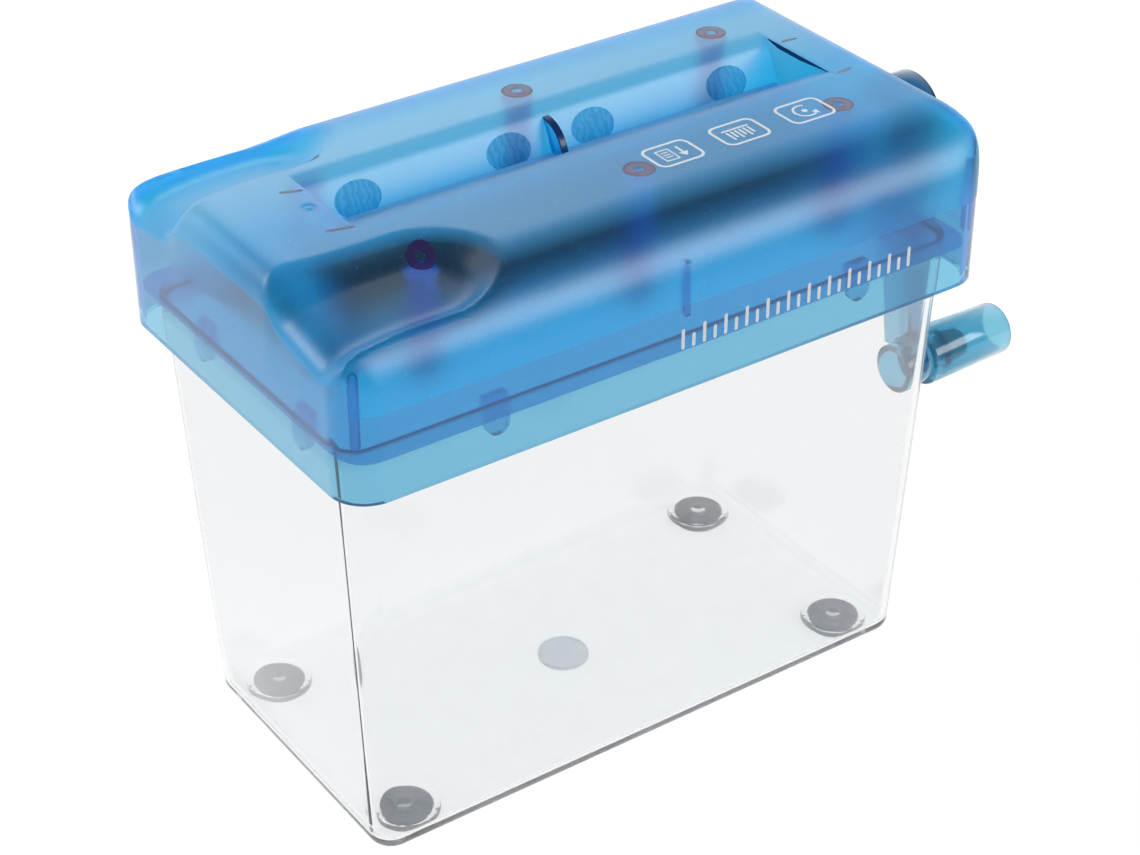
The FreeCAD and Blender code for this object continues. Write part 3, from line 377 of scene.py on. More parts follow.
# Rubber feet
# Grey moulded rubber buttons, dished underneath, pressed into pockets under the floor.
# They hold the bin 1.5 mm off the table.
def repeat_on_grid(name, mesh, material, columns, rows, size, centre):
    """Repeat a shape on a level grid with geometry nodes; size and centre are in millimetres."""
    tree = bpy.data.node_groups.new(name + "_grid", "GeometryNodeTree")
    panel = tree.interface
    panel.new_socket("Shape", in_out="INPUT", socket_type="NodeSocketGeometry")
    length = panel.new_socket("Grid length", in_out="INPUT", socket_type="NodeSocketFloat")
    width = panel.new_socket("Grid width", in_out="INPUT", socket_type="NodeSocketFloat")
    middle = panel.new_socket("Grid centre", in_out="INPUT", socket_type="NodeSocketVector")
    panel.new_socket("Shapes", in_out="OUTPUT", socket_type="NodeSocketGeometry")
    given = add_node(tree, "NodeGroupInput")
    grid = add_node(tree, "GeometryNodeMeshGrid", {
        "Size X": given.outputs["Grid length"], "Size Y": given.outputs["Grid width"],
        "Vertices X": columns, "Vertices Y": rows})
    moved = add_node(tree, "GeometryNodeTransform", {
        "Geometry": grid.outputs[0], "Translation": given.outputs["Grid centre"]})
    copies = add_node(tree, "GeometryNodeInstanceOnPoints", {
        "Points": moved.outputs[0], "Instance": given.outputs["Shape"]})
    real = add_node(tree, "GeometryNodeRealizeInstances", {0: copies.outputs[0]})
    finished = add_node(tree, "GeometryNodeSetMaterial", {0: real.outputs[0], "Material": material})
    add_node(tree, "NodeGroupOutput", {0: finished.outputs[0]})
    thing = bpy.data.objects.new(name, mesh)
    scene.collection.objects.link(thing)
    layer = thing.modifiers.new("grid", "NODES")
    layer.node_group = tree
    layer[length.identifier] = size[0] * MM
    layer[width.identifier] = size[1] * MM
    layer[middle.identifier] = tuple(value * MM for value in centre)
    return plain_mesh(thing)


def moulded(name, dark, light, roughness, gloss=0.5, scale=500.0, grain=0.2):
    """An opaque finish: two close tones in a mottle, with a slight grain.

    A scale of 500 gives clouds of 2 mm, and 900 or 1200 of about 1 mm: coarser than real, to show.
    """
    material, tree = new_material(name)
    place = add_node(tree, "ShaderNodeTexCoord")
    mottle = add_node(tree, "ShaderNodeTexNoise", {
        "Vector": place.outputs["Object"], "Scale": scale, "Detail": 3.0})
    tone = add_node(tree, "ShaderNodeMix", {
        0: mottle.outputs[0], 6: hex_colour(dark), 7: hex_colour(light)}, data_type="RGBA")
    shader = add_node(tree, "ShaderNodeBsdfPrincipled", {
        "Base Color": tone.outputs[2], "Roughness": roughness, "Specular IOR Level": gloss})
    if grain:
        bump = add_node(tree, "ShaderNodeBump", {
            "Height": mottle.outputs[0], "Strength": grain, "Distance": 0.0002})
        tree.links.new(bump.outputs[0], shader.inputs["Normal"])
    add_node(tree, "ShaderNodeOutputMaterial", {"Surface": shader.outputs[0]})
    return material


# Moulded rubber: dark grey and matt, dusty enough to be uneven.
grey_rubber = moulded("grey_moulded_rubber", "#30303A", "#454550", 0.62, scale=900.0, grain=0.25)
foot_profile = [(2.0, 0.9), (2.2, 0.1), (2.4, 0.0), (5.6, 0.0),
                (6.2, 0.25), (6.5, 0.9), (6.5, 2.8), (6.1, 3.3)]
feet = piece("rubber_feet_buttons", repeat_on_grid(
    "rubber_feet_grid", solid("rubber_foot", turned(foot_profile), 60), grey_rubber, 2, 2,
    (2 * FOOT_PLACE[0], 2 * FOOT_PLACE[1]), (0, 0, 0)), "bin")
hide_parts("rubber_feet")

# Base plate, bearing plates and stripper combs
# The plate, the bearing plates and the combs are moulded in the cover's blue plastic with a satin skin.
# Dark bars between the combs' fingers are painted shade, and tongues under the plate hold the head in the
# bin's rim.
PLATE_HALF = (85.2, 48.7)
PLATE_BOTTOM = 117.0
PLATE_TOP = 119.0
WINDOW_MIDDLE = (5.45, 5.9)
WINDOW_HALF = (65.95, 9.0)
COMB_ENDS = (-38.0, 70.9)
COMB_LEVELS = (114.1, 119.4)
LUG_HALF = 3.0
LUG_THICKNESS = 1.8
LUG_TOP = 116.95
LUG_BEND = 110.5
BLUE_LIGHT = "#9EE1F2"

# Clear blue polystyrene: the dyed resin from a polished mould half, bright and see-through.
blue_clear = clear_wall("clear_blue_polystyrene", "#5CC6EB", 0.1, 1.2, BLUE_LIGHT)

# The same from an etched mould half: a satin skin blurs what lies under it and gives the sheet some body.
satin_blue = clear_wall("satin_blue_polystyrene", "#6CCBEE", 0.5, 1.06, BLUE_LIGHT, 0.9)

# Navy polystyrene: the same resin with much more dye, opaque and matt; here it is painted shade, the dark
# bars under the discs.
navy_plastic = moulded("navy_polystyrene", "#0E1A34", "#14233F", 0.8, 0.1)


def dress(material, *nodes):
    """Give CAD nodes their finish."""
    for node in nodes:
        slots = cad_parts[node].data.materials
        slots.clear()
        slots.append(material)


def prism(outline, low, high, axis):
    """A straight bar with one outline, between two places along axis 0, 1 or 2."""
    rings = [[(*point[:axis], level, *point[axis:]) for point in outline] for level in (low, high)]
    return bridge_loops(rings)


def plate_ring(inset, corner, z):
    loop = rounded_loop(PLATE_HALF[0] - inset, PLATE_HALF[1] - inset, corner)
    return [(x, y, z) for x, y in loop]


def window_ring(z):
    return [(x + WINDOW_MIDDLE[0], y + WINDOW_MIDDLE[1], z) for x, y in rounded_loop(*WINDOW_HALF, 0.8)]


plate_shape = closed_ring([
    window_ring(PLATE_BOTTOM), plate_ring(0.2, 6.5, PLATE_BOTTOM), plate_ring(0.0, 6.7, PLATE_BOTTOM + 0.2),
    plate_ring(0.0, 6.7, PLATE_BOTTOM + 0.45), plate_ring(0.3, 6.4, PLATE_BOTTOM + 0.65),
    plate_ring(6.0, 2.0, PLATE_TOP), window_ring(PLATE_TOP)])
plate = piece("base_plate_sheet", solid("base_plate_sheet", plate_shape, 8), "head", satin_blue)
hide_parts("base_plate")
dress(satin_blue, "left_bearing_plate", "right_bearing_plate", "front_stripper", "rear_stripper")


def dark_shade_bar(name, y_low, y_high):
    """A dark bar between a comb's fingers, just under the reach of the discs: painted shade that keeps out
    the light from below.
    """
    left, right = COMB_ENDS
    outline = [(left, y_low), (right, y_low), (right, y_high), (left, y_high)]
    web = piece(name, solid(name, prism(outline, *COMB_LEVELS, 2), 30), "head", navy_plastic)


# Painted shade: two dark bars keep the light from below out of the view under the discs.
dark_shade_bar("front_shade_bar", -2.9, 1.3)
dark_shade_bar("rear_shade_bar", 10.5, 14.7)


def lug(name, axis):
    """A tongue 6 mm wide and 1.8 mm thick with a round lower end, its middle on the origin."""
    outline = [(-LUG_HALF, LUG_TOP), (LUG_HALF, LUG_TOP)] + arc((0, LUG_BEND), LUG_HALF, 0, -180, 12)
    return solid(name, prism(outline, -LUG_THICKNESS / 2, LUG_THICKNESS / 2, axis), 30)


side_lugs = piece("side_lugs", repeat_on_grid(
    "side_lugs_grid", lug("side_lug", 1), blue_clear, 2, 2, (101.0, 79.34), (5.45, 0, 0)), "head")
end_lugs = piece("end_lugs", repeat_on_grid(
    "end_lugs_grid", lug("end_lug", 0), blue_clear, 2, 2, (160.36, 44.0), (0, 0, 0)), "head")

# Cutters, shafts, gears and clips
# Blackened punched steel discs on hexagon shafts, nylon gears and bushes, bright steel clips and screws.
# The shafts run in bushes in the bearing plates, and the clips keep them from sliding out.

# Natural nylon: milky white, with the blue light that reaches it through the cover painted into its colour,
# and a dull sheen.
blue_lit_nylon = moulded("blue_lit_nylon", "#A9C4D8", "#BDD3E3", 0.45)
dress(blue_lit_nylon, "shaft_bushes", "front_gear", "rear_gear", "driven_gear", "drive_pinion")

# Black oxide on steel: a matt blue-black skin with hardly any glint left.
black_steel = moulded("black_oxide_steel", "#14171F", "#1F2430", 0.7, 0.15)
dress(black_steel, "front_cutter_discs", "rear_cutter_discs")

# Zinc-plated steel: bright grey metal. Its turning lines, 0.4 mm apart, are coarser than real, to show.
bright_steel, steel_tree = new_material("zinc_plated_steel")
steel_place = add_node(steel_tree, "ShaderNodeTexCoord")
steel_stretch = add_node(steel_tree, "ShaderNodeMapping", {
    "Vector": steel_place.outputs["Object"], "Scale": (2500.0, 300.0, 300.0)})
steel_lines = add_node(steel_tree, "ShaderNodeTexNoise", {
    "Vector": steel_stretch.outputs[0], "Scale": 1.0, "Detail": 2.0})
steel_tone = add_node(steel_tree, "ShaderNodeMix", {
    0: steel_lines.outputs[0], 6: hex_colour("#9A9CA0"), 7: hex_colour("#B9BBBE")}, data_type="RGBA")
steel_shader = add_node(steel_tree, "ShaderNodeBsdfPrincipled", {
    "Base Color": steel_tone.outputs[2], "Metallic": 1.0, "Roughness": 0.3})
add_node(steel_tree, "ShaderNodeOutputMaterial", {"Surface": steel_shader.outputs[0]})
dress(bright_steel, "front_cutter_shaft", "rear_cutter_shaft", "crank_shaft", "front_clip", "rear_left_clip",
      "rear_right_clip", "bearing_screws", "cover_screws", "crank_screw")

# Top cover
# Translucent blue polystyrene shell, frosted on the dome and polished on its upright walls. A funnel
# leads paper to the cutters; two finger scoops at the left end help to lift the head off.
COVER_HALF = (87.5, 50.96)
COVER_TOP = 149.76
SKIRT_BOTTOM = 107.8
SKIRT_TOP = 122.0
COVER_WALL = 2.0
END_ROUND = 7.5
SIDE_ROUND = 20.0
PLAN_CORNER = 9.0
MECHANISM_X = 5.45
FUNNEL_HALF = 65.95
FUNNEL_LEFT = MECHANISM_X - FUNNEL_HALF
FUNNEL_RIGHT = MECHANISM_X + FUNNEL_HALF
NECK_BOTTOM = 136.1
NECK_FRONT = 2.7
NECK_BACK = 9.1
BACK_SLOPE = 64.0
FRONT_WALL = (14.0, 40.0, 5.3)
BACK_WALL = (6.0, BACK_SLOPE, 1.4)
SCOOP_RADIUS = 14.4
SCOOP_CENTRE = (-57.3, 32.3)
SCOOP_FLOOR = 144.4
SCOOP_FALL = 0.19
SCOOP_FALL_FROM = 27.0
SCOOP_FILLET = 8.0
SCOOP_WALL = 38.0
SCOOP_LIMIT = -30.0
SCOOP_BLEND = 1.2
SCOOP_DIP = 0.006
SCOOP_DIP_FROM = -66.0
REAR_NARROWER = 1.4
POST_X = (4.5, 61.5)
POST_Y = 24.2
SCOOP_POST_X = -52.5
SINK_DEPTH, SINK_WIDTH = 0.32, 1.15
GATE_PLACE = (-64.3, 2.0)
GATE_DEPTH, GATE_RADIUS, GATE_WIDTH = 0.4, 1.2, 0.55
SLOT_ROUND = 0.5
STEP = 0.02


def funnel_side(out, rounding, slope, neck, grow):
    """Height of one of the funnel's walls at a distance out from the slot."""
    angle = math.radians(slope)
    line_end = COVER_TOP - rounding * (1 - math.cos(angle))
    along = (line_end - NECK_BOTTOM - neck) / math.tan(angle) + rounding * math.sin(angle) - out
    if along <= 0:
        return COVER_TOP - grow
    radius = rounding - grow
    bend = radius * math.sin(angle)
    if along < bend:
        return COVER_TOP - rounding + math.sqrt(radius * radius - along * along)
    return COVER_TOP - rounding + radius * math.cos(angle) - (along - bend) * math.tan(angle)


def funnel_height(y, grow):
    """Height of the funnel's wall at y; grow 0 is its face, the wall's thickness its underside."""
    if y < NECK_FRONT - grow:
        return funnel_side(NECK_FRONT - y, *FRONT_WALL, grow)
    if y <= NECK_BACK + grow:
        return NECK_BOTTOM
    return funnel_side(y - NECK_BACK, *BACK_WALL, grow)


def scoop_height(x, y, grow):
    """Height of the finger scoop's floor and the rounded wall around it."""
    narrower = REAR_NARROWER if y > 0 else 0.0
    across = abs(y) - SCOOP_CENTRE[1] - narrower
    beside = max(x - SCOOP_CENTRE[0], 0.0)
    distance = math.hypot(beside, across) - SCOOP_RADIUS + narrower
    fillet = SCOOP_FILLET + grow
    rise = distance - grow + fillet
    floor = SCOOP_FLOOR - grow - SCOOP_FALL * (abs(y) - SCOOP_FALL_FROM)
    if rise <= 0:
        return floor
    steep = math.radians(SCOOP_WALL)
    reach = fillet * math.sin(steep)
    if rise < reach:
        return floor + fillet - math.sqrt(fillet * fillet - rise * rise)
    return floor + fillet * (1 - math.cos(steep)) + (rise - reach) * math.tan(steep)


def soft_lower(a, b, blend):
    """The lower of two heights, rounded where they cross."""
    near = max(blend - abs(a - b), 0.0) / blend
    return min(a, b) - near * near * blend / 4


def spread(low, high, pitch):
    count = max(1, round((high - low) / pitch))
    return [low + (high - low) * k / count for k in range(count + 1)]


def grid_lines(wide, exact):
    """Evenly spread lines and exact ones in order, without those that fall close together."""
    lines = exact + [value for value in wide if min(abs(value - other) for other in exact) > 0.1]
    kept = []
    for value in sorted(lines):
        if not kept or value - kept[-1] > 0.001:
            kept.append(value)
    return kept


def cover_lines():
    """Grid lines over the flat of the cover's roof, along X and along Y."""
    flat_x = COVER_HALF[0] - END_ROUND
    flat_y = COVER_HALF[1] - SIDE_ROUND
    around_post = [way * d for d in (0.35, 0.7, 1.05, 1.5, 2.1) for way in (-1, 0, 1)]
    exact_x = [post + d for post in POST_X for d in around_post]
    for edge, way in ((FUNNEL_LEFT, -1), (FUNNEL_RIGHT, 1)):
        exact_x += [edge + way * d for d in (-STEP, 0.0, 0.12, 0.3, 0.55, 0.9, COVER_WALL - STEP, COVER_WALL)]
    exact_y = [post + d for post in (-POST_Y, POST_Y) for d in around_post]
    for edge, way in ((NECK_FRONT, -1), (NECK_BACK, 1)):
        exact_y += [edge + way * d for d in (0.0, STEP, COVER_WALL, COVER_WALL + STEP)]
    wide_x = spread(-flat_x, -36.0, 0.8) + spread(-36.0, flat_x, 2.6) + spread(-66.6, -62.0, 0.25)
    wide_y = spread(-flat_y, flat_y, 0.8) + spread(-0.3, 4.3, 0.25)
    return grid_lines(wide_x, exact_x), grid_lines(wide_y, exact_y)


def roof_grid(flat, steps):
    """All grid lines in order: up one shoulder, over the flat and down the other, as (side, value)."""
    angles = [90 * k / steps for k in range(steps)]
    rows = [(-1, angle) for angle in angles] + [(0, value) for value in flat]
    return rows + [(1, angle) for angle in reversed(angles)]


def place_on(row, limit, radius):
    """Where a grid line is, and its drop from the top where it lies on a shoulder."""
    side, value = row
    if side == 0:
        return value, 0.0
    angle = math.radians(value)
    return side * (limit - radius + radius * math.cos(angle)), radius * (1 - math.sin(angle))


def rounded_plan(x, y, half_length, half_width, corner):
    """Pull a point of the square grid in, so that the plan's corner is a quarter circle."""
    a = (abs(x) - (half_length - corner)) / corner
    b = (abs(y) - (half_width - corner)) / corner
    if a <= 0 or b <= 0:
        return x, y
    a2 = a * math.sqrt(1 - b * b / 2)
    b2 = b * math.sqrt(1 - a * a / 2)
    return (math.copysign(half_length - corner + a2 * corner, x),
            math.copysign(half_width - corner + b2 * corner, y))


def roof_marks(x, y):
    """Depth of the small sinks over the posts, and of the gate's ring with a nub in its middle."""
    depth = 0.0
    for post in POST_X:
        away = math.hypot(x - post, abs(y) - POST_Y)
        depth += SINK_DEPTH * math.exp(-(away / SINK_WIDTH) ** 2)
    away = math.hypot(x - GATE_PLACE[0], y - GATE_PLACE[1])
    depth += GATE_DEPTH * math.exp(-((away - GATE_RADIUS) / GATE_WIDTH) ** 2)
    return depth if depth > 0.001 else 0.0


def roof_height(x, y, drop_x, drop_y, grow):
    """Roof of the cover, or of the space inside it where grow is the wall's thickness."""
    power = 3.0
    drop = (drop_x ** power + drop_y ** power) ** (1 / power)
    height = COVER_TOP - grow - drop
    if x < SCOOP_LIMIT:
        dip = SCOOP_DIP * max(SCOOP_DIP_FROM - x, 0.0) ** 2
        scoop = scoop_height(x, y, grow) - drop_x * 0.6 - dip
        height = soft_lower(height, scoop, SCOOP_BLEND + grow * 1.5)
    low = FUNNEL_LEFT - grow
    high = FUNNEL_RIGHT + grow
    if low + STEP / 2 <= x <= high - STEP / 2:
        height = min(height, funnel_height(y, grow))
    elif grow == 0:
        away = max(low - x, x - high)
        depth = min(SLOT_ROUND, COVER_TOP - funnel_height(y, 0.0))
        if away < depth:
            height -= depth - math.sqrt(depth * depth - (depth - away) ** 2)
    if grow == 0:
        height -= roof_marks(x, y)
    return height


FLAT_X, FLAT_Y = cover_lines()
ROWS_X = roof_grid(FLAT_X, 10)
ROWS_Y = roof_grid(FLAT_Y, 30)


def roof_points(grow):
    points = []
    half_length, half_width = COVER_HALF[0] - grow, COVER_HALF[1] - grow
    for row_x in ROWS_X:
        x, drop_x = place_on(row_x, half_length, END_ROUND - grow)
        for row_y in ROWS_Y:
            y, drop_y = place_on(row_y, half_width, SIDE_ROUND - grow)
            px, py = rounded_plan(x, y, half_length, half_width, PLAN_CORNER - grow)
            points.append((px, py, roof_height(px, py, drop_x, drop_y, grow)))
    return points


def cover_shell():
    """The whole shell: roof outside, roof inside, skirt and the slot's rim, with material numbers."""
    columns, rows = len(ROWS_X), len(ROWS_Y)
    points = roof_points(0.0) + roof_points(COVER_WALL)
    inner = columns * rows
    faces, numbers = [], []
    for i in range(columns - 1):
        mid_x = (points[i * rows + rows // 2][0] + points[(i + 1) * rows + rows // 2][0]) / 2
        for j in range(rows - 1):
            a, b = i * rows + j, (i + 1) * rows + j
            mid_y = (points[columns // 2 * rows + j][1] + points[columns // 2 * rows + j + 1][1]) / 2
            over_slot = FUNNEL_LEFT + STEP / 2 < mid_x < FUNNEL_RIGHT - STEP / 2
            if over_slot and NECK_FRONT < mid_y < NECK_BACK:
                continue
            faces += [(a, b, b + 1, a + 1), (inner + a, inner + a + 1, inner + b + 1, inner + b)]
            numbers += [0, 1]
    around = [i * rows for i in range(columns)]
    around += [(columns - 1) * rows + j for j in range(1, rows)]
    around += [i * rows + rows - 1 for i in range(columns - 2, -1, -1)]
    around += [j for j in range(rows - 2, 0, -1)]

    def strip(upper, lower, number, faces_out=True):
        for k in range(len(around)):
            n = (k + 1) % len(around)
            inward = (upper[k], upper[n], lower[n], lower[k])
            faces.append((upper[k], lower[k], lower[n], upper[n]) if faces_out else inward)
            numbers.append(number)

    def wall(first, levels, number, faces_out):
        """Run a wall down from a roof's edge; each level is (inset, z). Its last loop is given back."""
        previous = [first + index for index in around]
        for inset, z in levels:
            current = list(range(len(points), len(points) + len(around)))
            for index in around:
                x, y, unused_z = points[first + index]
                points.append((x * (1 - inset / COVER_HALF[0]), y * (1 - inset / COVER_HALF[1]), z))
            strip(previous, current, number, faces_out)
            previous = current
        return previous

    outer_rim = wall(0, [(0, SKIRT_TOP), (0, SKIRT_BOTTOM + 0.35), (0.35, SKIRT_BOTTOM)], 2, True)
    inner_rim = wall(inner, [(0, SKIRT_TOP), (0, SKIRT_BOTTOM)], 1, False)
    strip(outer_rim, inner_rim, 1)
    return points, faces, numbers


# Polished blue polystyrene on the upright walls: clear, with a mirror gloss. A real wall bends light like a
# window pane, hardly at all; so the body has a low index and the gloss is a coat with the resin's own.
polished_blue = clear_wall("polished_blue_polystyrene", "#5A98DC", 0.1, 1.12, BLUE_LIGHT, 0.93, (0.06, 1.55))


def frost(tree):
    """Specks of grit, their paler colour a painted sparkle; milky on the flat top; and a paler colour over
    the back of the roof, painted as the light that falls there.
    """
    place = add_node(tree, "ShaderNodeTexCoord")
    split = add_node(tree, "ShaderNodeSeparateXYZ", {0: place.outputs["Object"]})
    grit = add_node(tree, "ShaderNodeTexNoise", {
        "Vector": place.outputs["Object"], "Scale": 2500.0, "Detail": 2.0})
    # Painted sparkle: specks of grit get a paler colour as well as less clarity.
    grit_and_glint_speck = add_node(tree, "ShaderNodeMapRange", {0: grit.outputs[0], 1: 0.68, 2: 0.76})
    tone = add_node(tree, "ShaderNodeMix", {
        0: grit_and_glint_speck.outputs[0], 6: hex_colour("#3AAEF1"), 7: hex_colour("#B8E0F6")}, data_type="RGBA")
    top = add_node(tree, "ShaderNodeMapRange", {0: split.outputs[2], 1: 0.1475, 2: 0.1497})
    behind = add_node(tree, "ShaderNodeMapRange", {0: split.outputs[1], 1: -0.004, 2: 0.02})
    before = add_node(tree, "ShaderNodeMapRange", {0: split.outputs[1], 1: 0.026, 2: 0.036, 3: 1.0, 4: 0.0})
    span = add_node(tree, "ShaderNodeMath", {0: behind.outputs[0], 1: before.outputs[0]}, operation="MINIMUM")
    high = add_node(tree, "ShaderNodeMapRange", {0: split.outputs[2], 1: 0.139, 2: 0.147})
    back = add_node(tree, "ShaderNodeMath", {0: span.outputs[0], 1: high.outputs[0]}, operation="MINIMUM")
    # Painted light: the back of the roof is mixed towards a paler blue, as if lit from behind.
    pale = add_node(tree, "ShaderNodeMapRange", {0: back.outputs[0], 4: 0.45})
    shade = add_node(tree, "ShaderNodeMix", {
        0: pale.outputs[0], 6: tone.outputs[2], 7: hex_colour("#C4DFF2")}, data_type="RGBA")
    depth = add_node(tree, "ShaderNodeMath", {0: top.outputs[0], 1: back.outputs[0]}, operation="MAXIMUM")
    roof = add_node(tree, "ShaderNodeMapRange", {0: depth.outputs[0], 3: 0.97, 4: 0.5})
    clear = add_node(tree, "ShaderNodeMapRange", {0: grit_and_glint_speck.outputs[0], 3: roof.outputs[0], 4: 0.4})
    bump = add_node(tree, "ShaderNodeBump", {"Strength": 0.12, "Height": grit.outputs[0], "Distance": 0.0003})
    return {"Base Color": shade.outputs[2], "Transmission Weight": clear.outputs[0],
            "Normal": bump.outputs[0], "Coat Normal": bump.outputs[0]}


# Frosted blue polystyrene on the dome: spark-eroded mould texture that scatters light, blurs what lies deep
# and sparkles a little, a sparkle partly painted as pale specks. The back of the roof is painted paler, as
# lit.
# Grit of 0.4 mm is coarser than the real one, so that it shows.
frosted_blue = clear_wall(
    "frosted_blue_polystyrene", "#3AAEF1", 0.75, 1.12, BLUE_LIGHT, coat=(0.32, 1.55), pattern=frost)


def satin_dome(tree):
    place = add_node(tree, "ShaderNodeTexCoord")
    split = add_node(tree, "ShaderNodeSeparateXYZ", {0: place.outputs["Object"]})
    height = add_node(tree, "ShaderNodeMapRange", {0: split.outputs[2], 1: 0.130, 2: 0.134, 3: 0.1, 4: 0.7})
    return {"Roughness": height.outputs[0]}


# The same polystyrene on the inside, from a plainer mould half: satin under the dome, clear below.
inner_blue = clear_wall("inner_blue_polystyrene", "#93F8E7", 0.3, 1.12, BLUE_LIGHT, pattern=satin_dome)

shell_points, shell_faces, shell_numbers = cover_shell()
shell_mesh = mesh_from("cover_shell", shell_points, shell_faces, material_numbers=shell_numbers)
work = bmesh.new()
work.from_mesh(shell_mesh)
bmesh.ops.remove_doubles(work, verts=work.verts, dist=2e-6)
work.to_mesh(shell_mesh)
work.free()
shell_mesh.set_sharp_from_angle(angle=math.radians(42))
cover = piece("cover_shell", shell_mesh, "head", frosted_blue, inner_blue, polished_blue)
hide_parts("top_cover")

# Screw posts
# Six posts moulded under the roof take the cover's screws from below. Gas trapped at their blind ends, and
# at the ends of the funnel's ribs, has left brownish marks in the resin.
POST_RADIUS = 3.2
POST_BOTTOM = 119.1
POST_HOLE = 1.35
POST_HOLE_TOP = 133.0


def post(name, top):
    profile = [(POST_HOLE, POST_HOLE_TOP), (POST_HOLE, POST_BOTTOM), (POST_RADIUS - 0.3, POST_BOTTOM),
               (POST_RADIUS, POST_BOTTOM + 0.3), (POST_RADIUS, top - 0.9), (POST_RADIUS + 0.3, top - 0.3),
               (POST_RADIUS + 0.8, top)]
    return solid(name, turned(profile), 35)


# Milky blue polystyrene: thick sections scatter the light that the roof lets in, and glow a brighter blue.
milky_blue = clear_wall("milky_blue_polystyrene", "#1E78C8", 0.3, 1.2, BLUE_LIGHT, 0.5)
main_posts = piece("main_posts", repeat_on_grid(
    "main_posts_grid", post("main_post", 147.7), milky_blue, 2, 2, (POST_X[1] - POST_X[0], 2 * POST_Y),
    (sum(POST_X) / 2, 0, 0)), "head")
scoop_posts = piece("scoop_posts", repeat_on_grid(
    "scoop_posts_grid", post("scoop_post", 142.1), milky_blue, 1, 2, (0, 2 * POST_Y),
    (SCOOP_POST_X, 0, 0)), "head")


def singe(tree):
    """Brownish clouds 1.7 mm wide, and a dark violet painted as shade where the marks lie low in the scoops.
    """
    place = add_node(tree, "ShaderNodeTexCoord")
    cloud = add_node(tree, "ShaderNodeTexNoise", {
        "Vector": place.outputs["Object"], "Scale": 600.0, "Detail": 2.0})
    tone = add_node(tree, "ShaderNodeMix", {
        0: cloud.outputs[0], 6: hex_colour("#C4B2B8"), 7: hex_colour("#DED2D6")}, data_type="RGBA")
    split = add_node(tree, "ShaderNodeSeparateXYZ", {0: place.outputs["Object"]})
    # Painted shade: marks below the flat of the roof, in the scoops, turn dark violet.
    low = add_node(tree, "ShaderNodeMapRange", {0: split.outputs[2], 1: 0.1492, 2: 0.1496, 3: 1.0, 4: 0.0})
    shade = add_node(tree, "ShaderNodeMix", {
        0: low.outputs[0], 6: tone.outputs[2], 7: hex_colour("#6A5694")}, data_type="RGBA")
    return {"Base Color": shade.outputs[2]}


# Singed resin: a cloudy brownish skin in the roof that lets some of the blue through; in the scoops it is
# painted dark violet as shade.
singed = clear_wall("singed_polystyrene", "#CBBCC3", 0.4, 1.1, "#D8CCD4", 0.84, pattern=singe)


def join_parts(parts):
    """One list of points and faces from several."""
    points, faces = [], []
    for part_points, part_faces in parts:
        offset = len(points)
        points.extend(part_points)
        faces.extend(tuple(index + offset for index in face) for face in part_faces)
    return points, faces


def roof_skin(loops):
    """A thin skin on the roof between loops of (x, y), given from its inner edge to its outer."""
    levels = [(loop, 0.005) for loop in loops] + [(loop, 0.025) for loop in reversed(loops)]
    return closed_ring([[(x, y, roof_height(x, y, 0.0, 0.0, 0.0) + roof_marks(x, y) + lift) for x, y in loop]
                        for loop, lift in levels])


def stub_loop(start, end, half_width):
    """The rounded outline of a short straight mark."""
    along = math.degrees(math.atan2(end[1] - start[1], end[0] - start[0]))
    return [*arc(end, half_width, along - 90, along + 90, 11),
            *arc(start, half_width, along + 90, along + 270, 11)]


singed_parts = []
for x, outer in ((SCOOP_POST_X, 3.2), (POST_X[0], 3.7), (POST_X[1], 3.7)):
    for y in (-POST_Y, POST_Y):
        loops = [arc((x, y), radius, 0, 352.5, 47) for radius in (1.2, 2.0, 2.6, outer)]
        singed_parts.append(roof_skin(loops))
for start, end in (((-66.0, 11.2), (-61.8, 9.6)), ((-66.4, -9.7), (-61.2, -11.0)),
                   ((72.6, 10.0), (76.2, 9.7)), ((72.6, -11.2), (76.2, -10.9))):
    singed_parts.append(roof_skin([stub_loop(start, end, half_width) for half_width in (0.05, 0.5)]))
singe_marks = piece("singe_marks", solid("singe_marks", join_parts(singed_parts)), "head", singed)

# Finger guard
# A thin web across the middle of the funnel, moulded with the cover, that keeps fingers off the cutters.
# Its rounded edge and the right end of the funnel show a dark line of dye.
GUARD_CENTRE = (13.6, 138.87)
GUARD_RADIUS = 8.3
GUARD_THICKNESS = 1.6


def upright_plate(name, outline, middle, thickness):
    """A plate square to X from its outline of (y, z) points."""
    return solid(name, prism(outline, middle - thickness / 2, middle + thickness / 2, 0), 35)


guard_outline = [(9.05, 136.2), (9.05, 137.5), (13.4, 146.43)] + arc(GUARD_CENTRE, GUARD_RADIUS, 88, 198, 24)
guard = piece("finger_guard", upright_plate(
    "finger_guard", guard_outline, MECHANISM_X, GUARD_THICKNESS), "head", blue_clear)

# Deep blue polystyrene: the same dye seen along a thin edge, where it is many walls thick.
deep_blue = clear_wall("deep_blue_polystyrene", "#12386E", 0.25, 1.45, "#6FB4DC", 0.3)
edge_outline = [*arc(GUARD_CENTRE, GUARD_RADIUS + 0.03, 90, 198, 27),
                *arc(GUARD_CENTRE, GUARD_RADIUS - 0.5, 198, 90, 27)]
guard_edge = piece("guard_edge", upright_plate(
    "guard_edge", edge_outline, MECHANISM_X, GUARD_THICKNESS + 0.04), "head", deep_blue)
end_edge_outline = [(14.4, 149.1), (14.0, 149.35), (-8.6, 149.35), (-9.0, 149.2), (2.0, 148.2), (10.0, 148.2)]
end_edge = piece("funnel_end_edge", upright_plate(
    "funnel_end_edge", end_edge_outline, FUNNEL_RIGHT, 0.12), "head", deep_blue)

